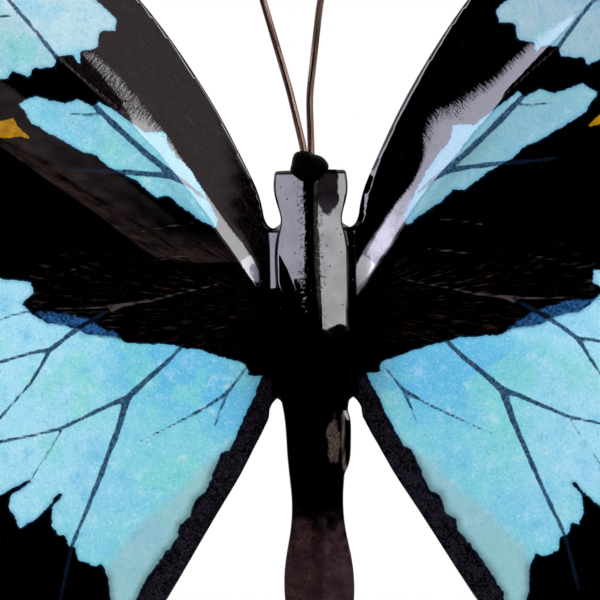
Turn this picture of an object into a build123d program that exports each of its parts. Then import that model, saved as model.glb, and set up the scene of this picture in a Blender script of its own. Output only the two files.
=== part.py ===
from build123d import *
from math import radians, tan
import os

# Butterfly wall ornament, all sizes in millimetres.
# X runs to the viewer's right, Y into the wall, Z up. The origin is the centre of the hanging hole.

# Sheet, wire and fits
WING_SHEET = 0.6  # printed steel of the four wings
SPINE_SHEET = 1.0  # flat back plate that everything is riveted to
SHELL_WALL = 0.6  # pressed cover of the body
HANGER_SHEET = 1.0
WIRE_DIAMETER = 1.2  # copper wire of the antennae
FIT_GAP = 0.05  # left round shanks, tabs and rims that only touch

# Depth of the stack, from the hanger's tongue at y = 0 towards the room (negative)
NAIL_HEAD_GAP = 5.0  # between the tongue and the back plate
WALL_FACE = HANGER_SHEET / 2
SPINE_BACK = -(HANGER_SHEET / 2 + NAIL_HEAD_GAP)
SPINE_FRONT = SPINE_BACK - SPINE_SHEET
HINDWING_FRONT = SPINE_FRONT - WING_SHEET
FOREWING_FRONT = HINDWING_FRONT - WING_SHEET

# Where the wings leave the body
BEND_X = 7.65  # the wings are flat as far as this line and then rise towards the room
TAB_INNER_X = 1.6  # inner end of the riveted root tabs
FOREWING_TAB = (-9.5, 2.0)  # lower and upper z of each tab
HINDWING_TAB = (-26.2, 1.4)

# Body, from the head down: z, half width and depth of the pressed dome
BODY_STATIONS = [
    (11.7, 5.2, 4.2), (11.2, 6.0, 5.0), (9.6, 6.2, 5.6), (6.2, 5.75, 6.0), (3.4, 5.1, 6.35), (0.8, 5.6, 6.7),
    (-5.0, 5.95, 7.45), (-15.0, 6.1, 7.9), (-24.0, 6.1, 7.3), (-30.0, 5.2, 6.3), (-36.5, 4.85, 5.7),
    (-43.5, 4.3, 5.2), (-49.0, 4.6, 5.2), (-54.0, 5.5, 5.4), (-60.0, 5.8, 5.4), (-66.5, 4.8, 4.5),
    (-71.5, 2.9, 3.0), (-73.4, 1.6, 1.9),
]
# The dome's cross-section: a steep flank, a rounded shoulder, a flat slope and a rounded crown
SLOPE_ANGLE = 29.0  # between the slopes and the wall
SHOULDER_AT = 0.93  # as parts of the half width
CROWN_AT = 0.25
SHOULDER_CUT = 0.075  # length of flank and of slope that the rounding takes
FLANGE_OUT = 7.3  # half width over the flat rim that covers the wing roots
FLANGE_SPAN = (-26.4, 2.0)
SHELL_TABS_Z = [9.2, -40.0, -58.0]
SHELL_TAB_HEIGHT = 2.6
SHELL_TAB_LEG = 1.3

# Rivets: a shank and two low heads
RIVET_RADIUS = 1.0
WING_RIVET_X = 3.6
WING_RIVETS_Z = {"both": [-1.6, -7.2], "hindwing": [-15.0, -22.5]}
WING_RIVET_HEAD = (1.4, 0.6)  # radius, height
HANGER_RIVETS_Z = [6.9, 9.7]
HANGER_RIVET_HEAD = (1.3, 0.6)

# Hanger, a strap bent twice
HANGER_HALF_WIDTH = 4.0
HANGER_HOLE_RADIUS = 2.5
HANGER_FOOT_TOP = 11.5
HANGER_STEP_Z = 5.0  # upper side of the strap where it steps out to the wall
HANGER_BEND = 1.0

# Rubber bumper pressed into the plate near the tail
BUMPER_Z = -64.0
BUMPER_RADIUS = (3.2, 2.7)  # at the plate, at the wall
BUMPER_STEM = 1.2
BUMPER_BARB = (1.7, 1.2)  # radius, height

# Antennae, x and z of the corners that the bends round off
ANTENNA_SLOT = (-1.75, 1.0, -11.35, -8.55)  # through the top of the head: from x to x, from y to y
ANTENNA_LEFT = [(-0.9, 4.0), (-0.9, 14.6), (-3.2, 25.2), (-7.9, 42.5), (-17.5, 74.0)]
ANTENNA_RIGHT = [(0.2, 4.0), (0.2, 16.5), (0.1, 24.0), (2.6, 42.5), (12.4, 74.0)]
ANTENNA_LEFT_Y = -10.6  # the left wire passes in front of the right one
ANTENNA_RIGHT_Y = -9.3
ANTENNA_LEAN = [0.0, 0.0, -0.8, -3.0, -9.5]  # towards the room at each corner
ANTENNA_BENDS = [14.0, 30.0, 60.0]

# Resin drop that seals the antennae into the head
DROP_CENTRE = (-0.1, -11.3, 12.2)
DROP_RADII = (3.3, 2.7)  # across, up
DROP_SIDE_RADIUS = 2.3

# The wing sheets. A wing is a fan of narrow panels between ridges that all start on the bend line.
# Each section lists, from the leading side down, the (z, rise) of the panel edges at one x.
FOREWING_SECTIONS = {
    7.65: [(9.0, 0.0), (-7.3, 0.0), (-8.2, 0.0), (-9.2, 0.0), (-12.5, 0.0)],
    20.6: [(34.0, 0.1), (9.7, 3.5), (3.2, 2.8), (-3.2, 3.2), (-7.0, 2.9)],
    49.6: [(65.0, 7.3), (38.8, 11.3), (27.5, 9.7), (16.2, 10.5), (-6.0, 9.3)],
    81.6: [(78.5, 16.4), (58.0, 19.8), (46.0, 17.7), (34.2, 18.5), (-3.5, 16.6)],
    119.0: [(85.0, 26.9), (70.0, 29.9), (60.0, 27.4), (51.0, 27.8), (-2.0, 25.2)],
}
HINDWING_SECTIONS = {
    7.65: [(-6.5, 0.0), (-13.5, 0.0), (-23.0, 0.0), (-29.5, 0.0)],
    25.5: [(5.5, 2.9), (-18.0, 3.7), (-41.5, 3.4), (-65.0, 2.4)],
    51.0: [(7.0, 7.4), (-24.0, 8.8), (-67.0, 8.3), (-98.0, 6.6)],
    76.5: [(5.5, 11.8), (-30.0, 13.9), (-92.0, 13.2), (-120.0, 11.0)],
    105.5: [(0.5, 16.8), (-36.5, 19.6), (-119.0, 18.6), (-142.0, 16.0)],
}

# Forewing outline, x and z of the points it passes through
LEADING_EDGE = [
    (8.2, 5.3), (10.9, 12.8), (14.6, 20.4), (20.6, 30.6), (27.9, 40.8), (36.6, 49.9),
    (47.0, 58.0), (59.0, 65.2), (72.5, 71.0), (87.0, 74.8), (101.0, 75.8),
]
WING_TIP = [(101.0, 75.8), (110.2, 74.0), (113.5, 69.5)]
OUTER_MARGIN = [(113.5, 69.5), (110.0, 55.0), (104.5, 41.5), (99.6, 29.0), (95.8, 17.0), (91.5, 8.0)]
OUTER_MARGIN_SAG = 0.9
TRAILING_EDGE = [(91.5, 8.0), (84.0, 3.6), (71.0, 1.0), (54.0, -1.2), (37.0, -2.4), (20.4, -3.8), (12.6, -6.6)]

# Hindwing outline
COSTAL_EDGE = [(11.0, -5.6), (16.0, -1.5), (24.0, 1.6), (40.0, 3.0), (58.0, 2.0), (76.0, -1.8), (89.0, -8.0)]
HIND_SHOULDER = [(89.0, -8.0), (98.0, -16.5), (101.0, -28.0)]
SCALLOP_ENDS = [(101.0, -28.0), (99.0, -43.5), (92.5, -57.5), (82.5, -69.5), (69.5, -79.5), (54.5, -86.0)]
SCALLOP_SAG = 1.5
ANAL_LOBE = [(54.5, -86.0), (46.5, -88.8), (41.0, -86.0), (38.0, -79.5)]
INNER_MARGIN = [
    (38.0, -79.5), (32.0, -69.7), (26.3, -61.0), (20.6, -51.8), (15.9, -44.2), (12.6, -38.9), (9.4, -33.0),
    (7.75, -28.6),
]


def on_front(face, depth=0.0):
    """Stands a flat XY drawing up in the XZ plane, at y = depth, facing the room."""
    return Plane((0, depth, 0), x_dir=(1, 0, 0), z_dir=(0, -1, 0)) * face


def plate(face, front, thickness):
    """A flat plate of that outline whose front face is at y = front."""
    return extrude(on_front(face, front + thickness), thickness)


def block(x_span, y_span, z_span):
    """A box between those limits."""
    sizes = [span[1] - span[0] for span in (x_span, y_span, z_span)]
    middles = [(span[1] + span[0]) / 2 for span in (x_span, y_span, z_span)]
    return Pos(*middles) * Box(*sizes)


def mirrored(shape):
    return mirror(shape, about=Plane.YZ)


def both_sides(shape):
    return shape + mirrored(shape)


def bulged(points, sag):
    """Arcs from point to point, each bulging outwards by sag; they run clockwise round the wing."""
    return [SagittaArc(a, b, sag) for a, b in zip(points, points[1:])]


# Wings

def forewing_outline():
    low, high = FOREWING_TAB
    edges = [
        Line((TAB_INNER_X, high), (6.2, high)),
        Spline((6.2, high), (7.6, 3.0), (8.2, 5.3), tangents=((1, 0.1), (0.12, 1))),
        Spline(*LEADING_EDGE, tangents=((0.16, 1), (1, 0))),
        ThreePointArc(*WING_TIP),
        *bulged(OUTER_MARGIN, OUTER_MARGIN_SAG),
        Spline(*TRAILING_EDGE, tangents=((-0.75, -0.6), (-1, -0.6))),
        Line(TRAILING_EDGE[-1], (BEND_X, low)),
        Line((BEND_X, low), (TAB_INNER_X, low)),
        Line((TAB_INNER_X, low), (TAB_INNER_X, high)),
    ]
    return make_face(Curve() + edges)


def hindwing_outline():
    low, high = HINDWING_TAB
    edges = [
        Line((TAB_INNER_X, high), (6.6, high)),
        Line((6.6, high), (BEND_X, -8.6)),
        Line((BEND_X, -8.6), COSTAL_EDGE[0]),
        Spline(*COSTAL_EDGE, tangents=((1, 0.9), (1, -0.7))),
        ThreePointArc(*HIND_SHOULDER),
        *bulged(SCALLOP_ENDS, SCALLOP_SAG),
        Spline(*ANAL_LOBE, tangents=((-1, -0.4), (-0.4, 1))),
        Spline(*INNER_MARGIN, tangents=((-0.5, 0.8), (-0.05, 1))),
        ThreePointArc(INNER_MARGIN[-1], (6.7, -26.9), (5.5, low)),
        Line((5.5, low), (TAB_INNER_X, low)),
        Line((TAB_INNER_X, low), (TAB_INNER_X, high)),
    ]
    return make_face(Curve() + edges)


def folded_sheet(sections, front):
    """The endless folded sheet that a wing is cut from: ruled panels between the sections."""
    wires = []
    for x, edges in sections.items():
        front_side = [Vector(x, front - rise, z) for z, rise in edges]
        back_side = [point + Vector(0, WING_SHEET, 0) for point in reversed(front_side)]
        wires.append(Wire.make_polygon(front_side + back_side, close=True))
    return Solid.make_loft(wires, ruled=True)


def wing(outline, sections, front):
    """One wing, cut to its outline: the folded sheet outside the bend line and the flat tab inside it."""
    cutter = extrude(on_front(outline, 40.0), 100.0)
    tab = plate(outline, front, WING_SHEET) & block((-50, BEND_X), (-50, 50), (-100, 100))
    return (cutter & folded_sheet(sections, front)) + tab


# Body: a pressed shell closed by a flat plate

def arch(z, half_width, depth):
    """Face of one cross-section of the dome, standing on the plate's front face."""
    crown_x = half_width * CROWN_AT
    crown_y = SPINE_FRONT - depth + crown_x * tan(radians(SLOPE_ANGLE / 2))
    shoulder_x = half_width * SHOULDER_AT
    shoulder_y = crown_y + (shoulder_x - crown_x) * tan(radians(SLOPE_ANGLE))
    foot = Vector(half_width, SPINE_FRONT, z)
    shoulder = Vector(shoulder_x, shoulder_y, z)
    crown = Vector(crown_x, crown_y, z)
    cut = SHOULDER_CUT * half_width
    flank = Line(foot, shoulder + (foot - shoulder).normalized() * cut)
    slope = Line(shoulder + (crown - shoulder).normalized() * cut, crown)
    rounding = TangentArc(flank @ 1, slope @ 0, tangent=flank % 1)
    crest = TangentArc(crown, Vector(-crown_x, crown_y, z), tangent=slope % 1)
    side = [flank, rounding, slope]
    other_side = [mirror(edge, about=Plane.YZ) for edge in side]
    return make_face(Curve() + [*side, crest, *other_side, Line(Vector(-half_width, SPINE_FRONT, z), foot)])


def dome(inset):
    """The body's outer form, or with the wall as inset the space inside it."""
    stations = []
    for place, (z, half, depth) in enumerate(BODY_STATIONS):
        z = {0: z - inset, len(BODY_STATIONS) - 1: z + inset}.get(place, z)
        if not stations or z < stations[-1][0] - 0.2:
            stations.append((z, half - inset, depth - inset))
    return loft([arch(*station) for station in stations])


def half_width_at(z):
    """Half width of the dome at that height, between its stations."""
    for (z_high, w_high, _), (z_low, w_low, _) in zip(BODY_STATIONS, BODY_STATIONS[1:]):
        if z_low <= z <= z_high:
            return w_low + (w_high - w_low) * (z - z_low) / (z_high - z_low)
    raise ValueError(z)


def shell_tab(z):
    """A tab that goes through the plate's edge notch and is folded over behind it, right side."""
    outer = half_width_at(z) - 0.1
    inner = outer - SHELL_WALL
    back = SPINE_BACK + FIT_GAP + SHELL_WALL
    z_span = (z - SHELL_TAB_HEIGHT / 2, z + SHELL_TAB_HEIGHT / 2)
    leg = block((inner - SHELL_TAB_LEG, outer), (SPINE_BACK + FIT_GAP, back), z_span)
    return block((inner, outer), (SPINE_FRONT - 1.0, back), z_span) + leg


def make_body_shell():
    shell = dome(0.0) - dome(SHELL_WALL)
    rim_back = FOREWING_FRONT - FIT_GAP
    low, high = FLANGE_SPAN
    shell -= block((-20, 20), (rim_back, 0), (low - 1.6, high + 0.1))
    shell -= block((-20, 20), (SPINE_FRONT - FIT_GAP, 0), (-100, 100))
    flange = block((4.9, FLANGE_OUT), (rim_back - SHELL_WALL, rim_back), FLANGE_SPAN)
    flange = fillet(flange.edges().filter_by(Axis.Y).sort_by(Axis.X)[-2:], 0.4)
    shell += both_sides(flange - dome(SHELL_WALL))
    for z in SHELL_TABS_Z:
        shell += both_sides(shell_tab(z))
    x_low, x_high, y_low, y_high = ANTENNA_SLOT
    return shell - block((x_low, x_high), (y_low, y_high), (10.0, 13.0))


def make_spine_plate():
    inset = 0.35
    side = [(half - inset, z) for z, half, _ in BODY_STATIONS]
    side[0] = (side[0][0], side[0][1] - inset)
    side[-1] = (side[-1][0], side[-1][1] + inset)
    right = Spline(*side)
    left = Spline(*[(-x, z) for x, z in reversed(side)])
    outline = make_face(Curve() + [right, Line(right @ 1, left @ 0), left, Line(left @ 1, right @ 0)])
    spine = plate(outline, SPINE_FRONT, SPINE_SHEET)
    for z in SHELL_TABS_Z:
        inner = half_width_at(z) - 0.1 - SHELL_WALL - FIT_GAP
        reach = SHELL_TAB_HEIGHT / 2 + 0.1
        spine -= both_sides(block((inner, 20), (-20, 0), (z - reach, z + reach)))
    hole = RIVET_RADIUS + FIT_GAP
    for _, x, z, _, _ in wing_rivet_places():
        spine -= bore(x, z, hole)
    for z in HANGER_RIVETS_Z:
        spine -= bore(0, z, hole)
    return spine - bore(0, BUMPER_Z, BUMPER_STEM + FIT_GAP)


# Fasteners

def bore(x, z, radius):
    """A cutter straight through the stack."""
    return Pos(x, -10, z) * Rot(X=90) * Cylinder(radius, 30)


def low_head(radius, height):
    """A rivet head on the XY plane, pointing up, with a wide bevel round its top."""
    head = Pos(0, 0, height / 2) * Cylinder(radius, height)
    return chamfer(head.edges().sort_by(Axis.Z)[-1], 0.6 * height)


def rivet(x, z, back, front, head):
    """A rivet through the stack between y = back and y = front."""
    shank = Pos(x, (back + front) / 2, z) * Rot(X=90) * Cylinder(RIVET_RADIUS, back - front)
    front_head = Pos(x, front, z) * Rot(X=90) * low_head(*head)
    back_head = Pos(x, back, z) * Rot(X=-90) * low_head(*head)
    return shank + front_head + back_head


def wing_rivet_places():
    """Which wings, x, z, and the y that each wing rivet clamps between."""
    places = []
    for side in (-1, 1):
        for z in WING_RIVETS_Z["both"]:
            places.append(("both", side * WING_RIVET_X, z, SPINE_BACK, FOREWING_FRONT))
        for z in WING_RIVETS_Z["hindwing"]:
            places.append(("hindwing", side * WING_RIVET_X, z, SPINE_BACK, HINDWING_FRONT))
    return places


def make_wing_rivets():
    rivets = [rivet(x, z, back, front, WING_RIVET_HEAD) for _, x, z, back, front in wing_rivet_places()]
    return Compound(children=rivets)


def make_hanger_rivets():
    back = SPINE_BACK + HANGER_SHEET
    rivets = [rivet(0, z, back, SPINE_FRONT, HANGER_RIVET_HEAD) for z in HANGER_RIVETS_Z]
    return Compound(children=rivets)


# Hanger and bumper

def make_hanger_bracket():
    """A strap from the plate out to the wall, then down as a tongue with the hanging hole."""
    foot_y = SPINE_BACK + HANGER_SHEET / 2
    line = FilletPolyline(
        (0, foot_y, HANGER_FOOT_TOP), (0, foot_y, HANGER_STEP_Z), (0, 0, HANGER_STEP_Z - 0.6), (0, 0, -4.0),
        radius=HANGER_BEND,
    )
    section = Plane(line @ 0, x_dir=(1, 0, 0), z_dir=line % 0) * Rectangle(2 * HANGER_HALF_WIDTH, HANGER_SHEET)
    strap = sweep(section, path=line)
    square_end = block((-10, 10), (-2, 2), (-10, 0))
    round_end = Rot(X=90) * Cylinder(HANGER_HALF_WIDTH, 10)
    strap -= square_end - round_end
    strap -= bore(0, 0, HANGER_HOLE_RADIUS)
    for z in HANGER_RIVETS_Z:
        strap -= bore(0, z, RIVET_RADIUS + FIT_GAP) & block((-10, 10), (-20, -2), (-20, 20))
    return strap


def make_wall_bumper():
    """A push-in rubber bumper: a barb inside the shell, a stem and a tapered foot on the wall."""
    wide, narrow = BUMPER_RADIUS
    barb, barb_height = BUMPER_BARB
    wall, back = WALL_FACE, SPINE_BACK
    front = SPINE_FRONT
    profile = Polyline(
        (0, wall), (narrow - 0.6, wall), (narrow, wall - 0.6), (wide, back), (BUMPER_STEM, back),
        (BUMPER_STEM, front), (barb, front), (0.7, front - barb_height), (0, front - barb_height), (0, wall),
    )
    return Pos(0, 0, BUMPER_Z) * revolve(make_face(profile), Axis.Y)


# Antennae and the drop that holds them

def antenna_wire(corners, foot_y):
    path_points = [(x, foot_y + lean, z) for (x, z), lean in zip(corners, ANTENNA_LEAN)]
    path = FilletPolyline(*path_points, radius=ANTENNA_BENDS)
    section = Plane(path @ 0, z_dir=path % 0) * Circle(WIRE_DIAMETER / 2)
    return sweep(section, path=path)


def drop_profile():
    """Half of the drop's oval: a flat cap above and below, and a tighter round at the side."""
    across, up = DROP_RADII
    centre = across - DROP_SIDE_RADIUS
    below = (centre**2 - (up - DROP_SIDE_RADIUS)**2) / (2 * (up - DROP_SIDE_RADIUS))
    meet = Vector(centre, 0) + Vector(centre, below).normalized() * DROP_SIDE_RADIUS
    cap = TangentArc((0, up), meet, tangent=(1, 0))
    side = TangentArc(meet, (across, 0), tangent=cap % 1)
    lower = [mirror(edge, about=Plane.XZ) for edge in (cap, side)]
    return make_face(Curve() + [cap, side, *lower, Line((0, -up), (0, up))])


def make_resin_drop(shell, spine, wires):
    blob = revolve(Plane.XZ * drop_profile(), Axis.Z)
    blob = Pos(*DROP_CENTRE) * blob - dome(0.0) - shell - spine
    blob = blob.solids().sort_by(SortBy.VOLUME)[-1]
    for wire in wires:
        blob -= wire
    return blob


def drilled(sheet, kinds, side):
    """The wing with its rivet holes, for the right side (1) or the left (-1)."""
    for kind, x, z, _, _ in wing_rivet_places():
        if kind in kinds and x * side > 0:
            sheet -= bore(x, z, RIVET_RADIUS + FIT_GAP)
    return sheet


forewing = drilled(wing(forewing_outline(), FOREWING_SECTIONS, FOREWING_FRONT), ["both"], 1)
hindwing = drilled(wing(hindwing_outline(), HINDWING_SECTIONS, HINDWING_FRONT), ["both", "hindwing"], 1)
body_shell = make_body_shell()
spine_plate = make_spine_plate()
antenna_left = antenna_wire(ANTENNA_LEFT, ANTENNA_LEFT_Y)
antenna_right = antenna_wire(ANTENNA_RIGHT, ANTENNA_RIGHT_Y)

parts = {
    "spine_plate": spine_plate,
    "body_shell": body_shell,
    "forewing_right": forewing,
    "forewing_left": mirrored(forewing),
    "hindwing_right": hindwing,
    "hindwing_left": mirrored(hindwing),
    "antenna_left": antenna_left,
    "antenna_right": antenna_right,
    "antenna_resin_drop": make_resin_drop(body_shell, spine_plate, [antenna_left, antenna_right]),
    "wing_rivets": make_wing_rivets(),
    "hanger_bracket": make_hanger_bracket(),
    "hanger_rivets": make_hanger_rivets(),
    "wall_bumper": make_wall_bumper(),
}

os.makedirs("parts", exist_ok=True)
for name, shape in parts.items():
    shape.label = name
    export_step(shape, f"parts/{name}.step")
    print(name, round(shape.volume, 1), len(shape.solids()), shape.is_valid)
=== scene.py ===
# %% [markdown]
# # A butterfly of printed sheet steel
# The ornament is a pressed black body with four folded steel wings behind it. The wings carry a printed
# butterfly pattern under clear lacquer, and two copper wires stand in a drop of black resin on the head.
# The solids come ready-made as a fixed frame. This lesson dresses them: fine wing sheets with their print,
# a lacquered body, wire, resin and plated steel, then the light and the camera.

# %% Load the frame
import bpy
import bmesh
import math
import numpy as np
from mathutils import Matrix, Vector
from mathutils.bvhtree import BVHTree
from mathutils.geometry import delaunay_2d_cdt
from mathutils.kdtree import KDTree


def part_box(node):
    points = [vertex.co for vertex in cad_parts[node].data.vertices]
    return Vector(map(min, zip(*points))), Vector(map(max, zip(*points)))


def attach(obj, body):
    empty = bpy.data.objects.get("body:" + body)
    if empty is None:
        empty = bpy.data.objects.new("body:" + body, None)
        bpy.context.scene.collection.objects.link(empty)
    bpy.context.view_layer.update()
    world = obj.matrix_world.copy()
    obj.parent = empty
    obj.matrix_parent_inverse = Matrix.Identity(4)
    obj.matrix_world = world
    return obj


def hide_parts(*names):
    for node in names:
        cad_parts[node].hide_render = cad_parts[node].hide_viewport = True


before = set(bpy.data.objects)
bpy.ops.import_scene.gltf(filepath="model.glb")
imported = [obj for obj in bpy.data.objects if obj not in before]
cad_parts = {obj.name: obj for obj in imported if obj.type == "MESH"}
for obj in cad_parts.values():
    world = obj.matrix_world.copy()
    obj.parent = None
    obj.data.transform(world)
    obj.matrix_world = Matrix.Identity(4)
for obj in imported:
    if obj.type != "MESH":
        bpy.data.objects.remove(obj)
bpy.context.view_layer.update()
MM = 0.001
print("frame nodes:", sorted(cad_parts))

# %% [markdown]
# ## Where the photograph's pixels lie on the butterfly
# The print is drawn on the left wings of the photograph. One function turns a pixel of the picture
# into millimetres on the ornament, so the drawing, the camera and the solids share one frame.

# %% The picture's scale
MM_PER_PIXEL = 0.17  # from the antenna wire, 7 pixels for 1.2 mm
BODY_AXIS_PIXEL = (313.0, 300.0)  # a point on the body's centre line
BODY_AXIS_Z = -10.18  # its height in the frame, in millimetres
BODY_LEAN = math.radians(1.25)  # the ornament is turned a little in the picture
PICTURE_SIZE = 600


def on_ornament(pixel):
    """The x and z, in millimetres, of a pixel of the photograph."""
    across = pixel[0] - BODY_AXIS_PIXEL[0]
    down = pixel[1] - BODY_AXIS_PIXEL[1]
    x = MM_PER_PIXEL * (across * math.cos(BODY_LEAN) - down * math.sin(BODY_LEAN))
    z = BODY_AXIS_Z - MM_PER_PIXEL * (across * math.sin(BODY_LEAN) + down * math.cos(BODY_LEAN))
    return x, z


print("the picture's centre is at", on_ornament((300, 300)))

# %% [markdown]
# ## Camera
# The photograph looks square at the front through a long lens. A long lens far away keeps the raised wing
# edges from growing, and the frame is 102 mm wide at the body.

# %% Camera
LENS = 400.0
SENSOR_WIDTH = 36.0
picture_width = PICTURE_SIZE * MM_PER_PIXEL * MM
camera_distance = picture_width * LENS / SENSOR_WIDTH
centre_x, centre_z = on_ornament((PICTURE_SIZE / 2, PICTURE_SIZE / 2))
camera_data = bpy.data.cameras.new("Camera")
camera_data.lens = LENS
camera_data.sensor_width = SENSOR_WIDTH
camera_data.clip_end = 20.0
camera = bpy.data.objects.new("Camera", camera_data)
bpy.context.scene.collection.objects.link(camera)
camera.matrix_world = (
    Matrix.Translation((centre_x * MM, -camera_distance, centre_z * MM))
    @ Matrix.Rotation(math.radians(90), 4, "X")
    @ Matrix.Rotation(-BODY_LEAN, 4, "Z")
)
bpy.context.scene.camera = camera
print("camera distance", round(camera_distance, 3), "m")

# %% [markdown]
# ## Helpers for materials
# A material here is a small tree of nodes. One function adds a node with its settings and links and hands
# back the output that is used next. Colours are written as sRGB hex and turned into the linear numbers
# that the shader wants.

# %% Material helpers
FAMILY = {"ShaderNodeTree": "ShaderNode", "GeometryNodeTree": "GeometryNode"}


def srgb(code):
    """The linear colour of a hex code such as #96d2e0."""
    parts = [int(code[i:i + 2], 16) / 255 for i in (1, 3, 5)]
    linear = [p / 12.92 if p <= 0.04045 else ((p + 0.055) / 1.055) ** 2.4 for p in parts]
    return (*linear, 1.0)


def add_node(tree, kind, inputs=None, out=0, **settings):
    """Adds one node and returns one of its outputs. An input is a number, a colour or another output.

    The kind is Blender's name less its family, as Math for ShaderNodeMath. A second word says what the
    node does: its operation, or how a map range eases.
    """
    kind, _, way = kind.partition(" ")
    node = tree.nodes.new(FAMILY[tree.bl_idname] + kind)
    if way:
        settings["interpolation_type" if kind == "MapRange" else "operation"] = way
    for name, value in settings.items():
        setattr(node, name, value)
    for name, value in (inputs or {}).items():
        if isinstance(value, bpy.types.NodeSocket):
            tree.links.new(value, node.inputs[name])
        else:
            node.inputs[name].default_value = value
    return node.outputs[out] if node.outputs else None


def new_material(name, **values):
    """A material, its tree and its surface shader, with the values that are the same all over."""
    material = bpy.data.materials.new(name)
    material.use_nodes = True
    tree = material.node_tree
    shader = tree.nodes["Principled BSDF"]
    for socket, value in values.items():
        shader.inputs[socket.replace("_", " ")].default_value = value
    return material, tree, shader


print("the palest turquoise in linear numbers:", [round(v, 3) for v in srgb("#e2f3f6")])

# %% Unevenness and layers


def unevenness(tree, *kinds):
    """Noise fields by name. A kind is a name, a size in millimetres, a detail and a roughness."""
    position = add_node(tree, "TexCoord", out="Object")
    fields = {}
    for name, size, detail, rough in kinds:
        sockets = {"Vector": position, "Scale": 1 / (size * MM), "Detail": detail, "Roughness": rough}
        fields[name] = add_node(tree, "TexNoise", sockets)
    return position, fields


def laid_over(tree, ground, layers):
    """Colour over colour: what a layer follows, where that starts and is full, its strength, its colour."""
    for follows, start, full, strength, colour in layers:
        reach = {"Value": follows, "From Min": start, "From Max": full, "To Max": strength}
        share = add_node(tree, "MapRange SMOOTHSTEP", reach)
        colour = srgb(colour) if isinstance(colour, str) else colour
        ground = add_node(tree, "Mix", {0: share, 6: ground, 7: colour}, 2, data_type="RGBA")
    return ground


def vary(tree, shader, height=None, depth=0.0, normal="Normal", **fields):
    """Links what varies over a surface to its shader, and a relief that is so many millimetres deep."""
    if height is not None:
        relief = {"Height": height, "Strength": 1.0, "Distance": depth * MM}
        fields[normal] = add_node(tree, "Bump", relief)
    for socket, value in fields.items():
        tree.links.new(value, shader.inputs[socket.replace("_", " ")])


def even_finish(name, ground, kinds, layers, height=None, depth=0.0, **values):
    """A material of nearly one colour, with layers that follow its own unevenness and a fine relief."""
    material, tree, shader = new_material(name, **values)
    spread = unevenness(tree, *kinds)[1]
    layers = [(spread[follows], *rest) for follows, *rest in layers]
    vary(tree, shader, spread.get(height), depth, Base_Color=laid_over(tree, srgb(ground), layers))
    return material


print("noise of 2 mm has a scale of", round(1 / (2 * MM)), "because Blender counts in metres")

# %% [markdown]
# ## Wing sheets
# Each real wing is a steel sheet, 0.6 mm thick, folded along ridges that fan out from the root. The solid
# has that shape with hard folds. A print needs many points to carry its outlines, so a fine net of
# triangles is laid over the solid's front face inside the solid's own outline. The heights are then
# smoothed, which rounds the folds as a press brake does, and the net is doubled to make front and back.

# %% Front of a solid
NET_STEP = 0.5 * MM
TOO_CLOSE = 0.3 * NET_STEP  # border points nearer to each other than this are merged


def front_patch(node):
    """The faces of a node's mesh that look to the room."""
    patch = bmesh.new()
    patch.from_mesh(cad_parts[node].data)
    bmesh.ops.remove_doubles(patch, verts=patch.verts, dist=1e-7)
    hidden = [face for face in patch.faces if face.normal.y > -0.3]
    bmesh.ops.delete(patch, geom=hidden, context="FACES")
    return patch


def outline_loops(patch):
    """The rings of points round the patch and its holes, evened out to the net's step."""
    border = {edge for edge in patch.edges if len(edge.link_faces) == 1}
    loops = []
    while border:
        edge = border.pop()
        start, here = edge.verts
        ring = [start.co.copy(), here.co.copy()]
        while here is not start:
            edge = next(e for e in here.link_edges if e in border)
            border.remove(edge)
            here = edge.other_vert(here)
            ring.append(here.co.copy())
        even = [ring[0]]
        for a, b in zip(ring, ring[1:]):
            pieces = max(1, math.ceil((b - a).length / NET_STEP))
            for step in range(1, pieces + 1):
                point = a.lerp(b, step / pieces)
                if (point - even[-1]).length > TOO_CLOSE:
                    even.append(point)
        if (even[-1] - even[0]).length < TOO_CLOSE:
            even.pop()
        loops.append(even)
    return loops


print("the net's triangles are", round(NET_STEP / MM, 2), "mm wide")

# %% Net over the front
CLEAR_OF_BORDER = 0.6 * NET_STEP  # how far the net's inner points stay from the border's points


def wing_net(node):
    """Points, triangles and border points of a fine net over the front of a wing."""
    patch = front_patch(node)
    loops = outline_loops(patch)
    tree = BVHTree.FromBMesh(patch)
    border = KDTree(sum(len(loop) for loop in loops))
    points, height, edges = [], [], []
    for loop in loops:
        first = len(points)
        for place, point in enumerate(loop):
            border.insert(point, len(points))
            edges.append((len(points), first + (place + 1) % len(loop)))
            points.append(Vector((point.x, point.z)))
            height.append(point.y)
    border.balance()
    count = len(points)
    low = Vector([min(p[i] for p in points) for i in (0, 1)])
    high = Vector([max(p[i] for p in points) for i in (0, 1)])
    row_step = NET_STEP * math.sqrt(3) / 2
    for row in range(int((high.y - low.y) / row_step)):
        z = low.y + (row + 0.5) * row_step
        for column in range(int((high.x - low.x) / NET_STEP)):
            x = low.x + (column + 0.5 + 0.5 * (row % 2)) * NET_STEP
            hit = tree.ray_cast(Vector((x, -1.0, z)), Vector((0, 1, 0)))[0]
            if hit and border.find(hit)[2] > CLEAR_OF_BORDER:
                points.append(Vector((x, z)))
                height.append(hit.y)
    net = delaunay_2d_cdt(points, edges, [], 1, 1e-9)
    spots = np.array([(p.x, p.y) for p in net[0]])
    origin = [ids[0] if ids else -1 for ids in net[3]]
    faces = []
    for face in net[2]:
        x, z = spots[list(face)].mean(0)
        if tree.ray_cast(Vector((x, -1.0, z)), Vector((0, 1, 0)))[0]:
            faces.append(face)
    spots = np.column_stack([spots[:, 0], [height[i] for i in origin], spots[:, 1]])
    patch.free()
    on_border = np.array([i < count for i in origin])
    return spots, np.array(faces), on_border


nets = {}
for wing in ("forewing_left", "forewing_right", "hindwing_left", "hindwing_right"):
    nets[wing] = wing_net(wing)
    print(wing, len(nets[wing][0]), "points", len(nets[wing][1]), "triangles")

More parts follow.
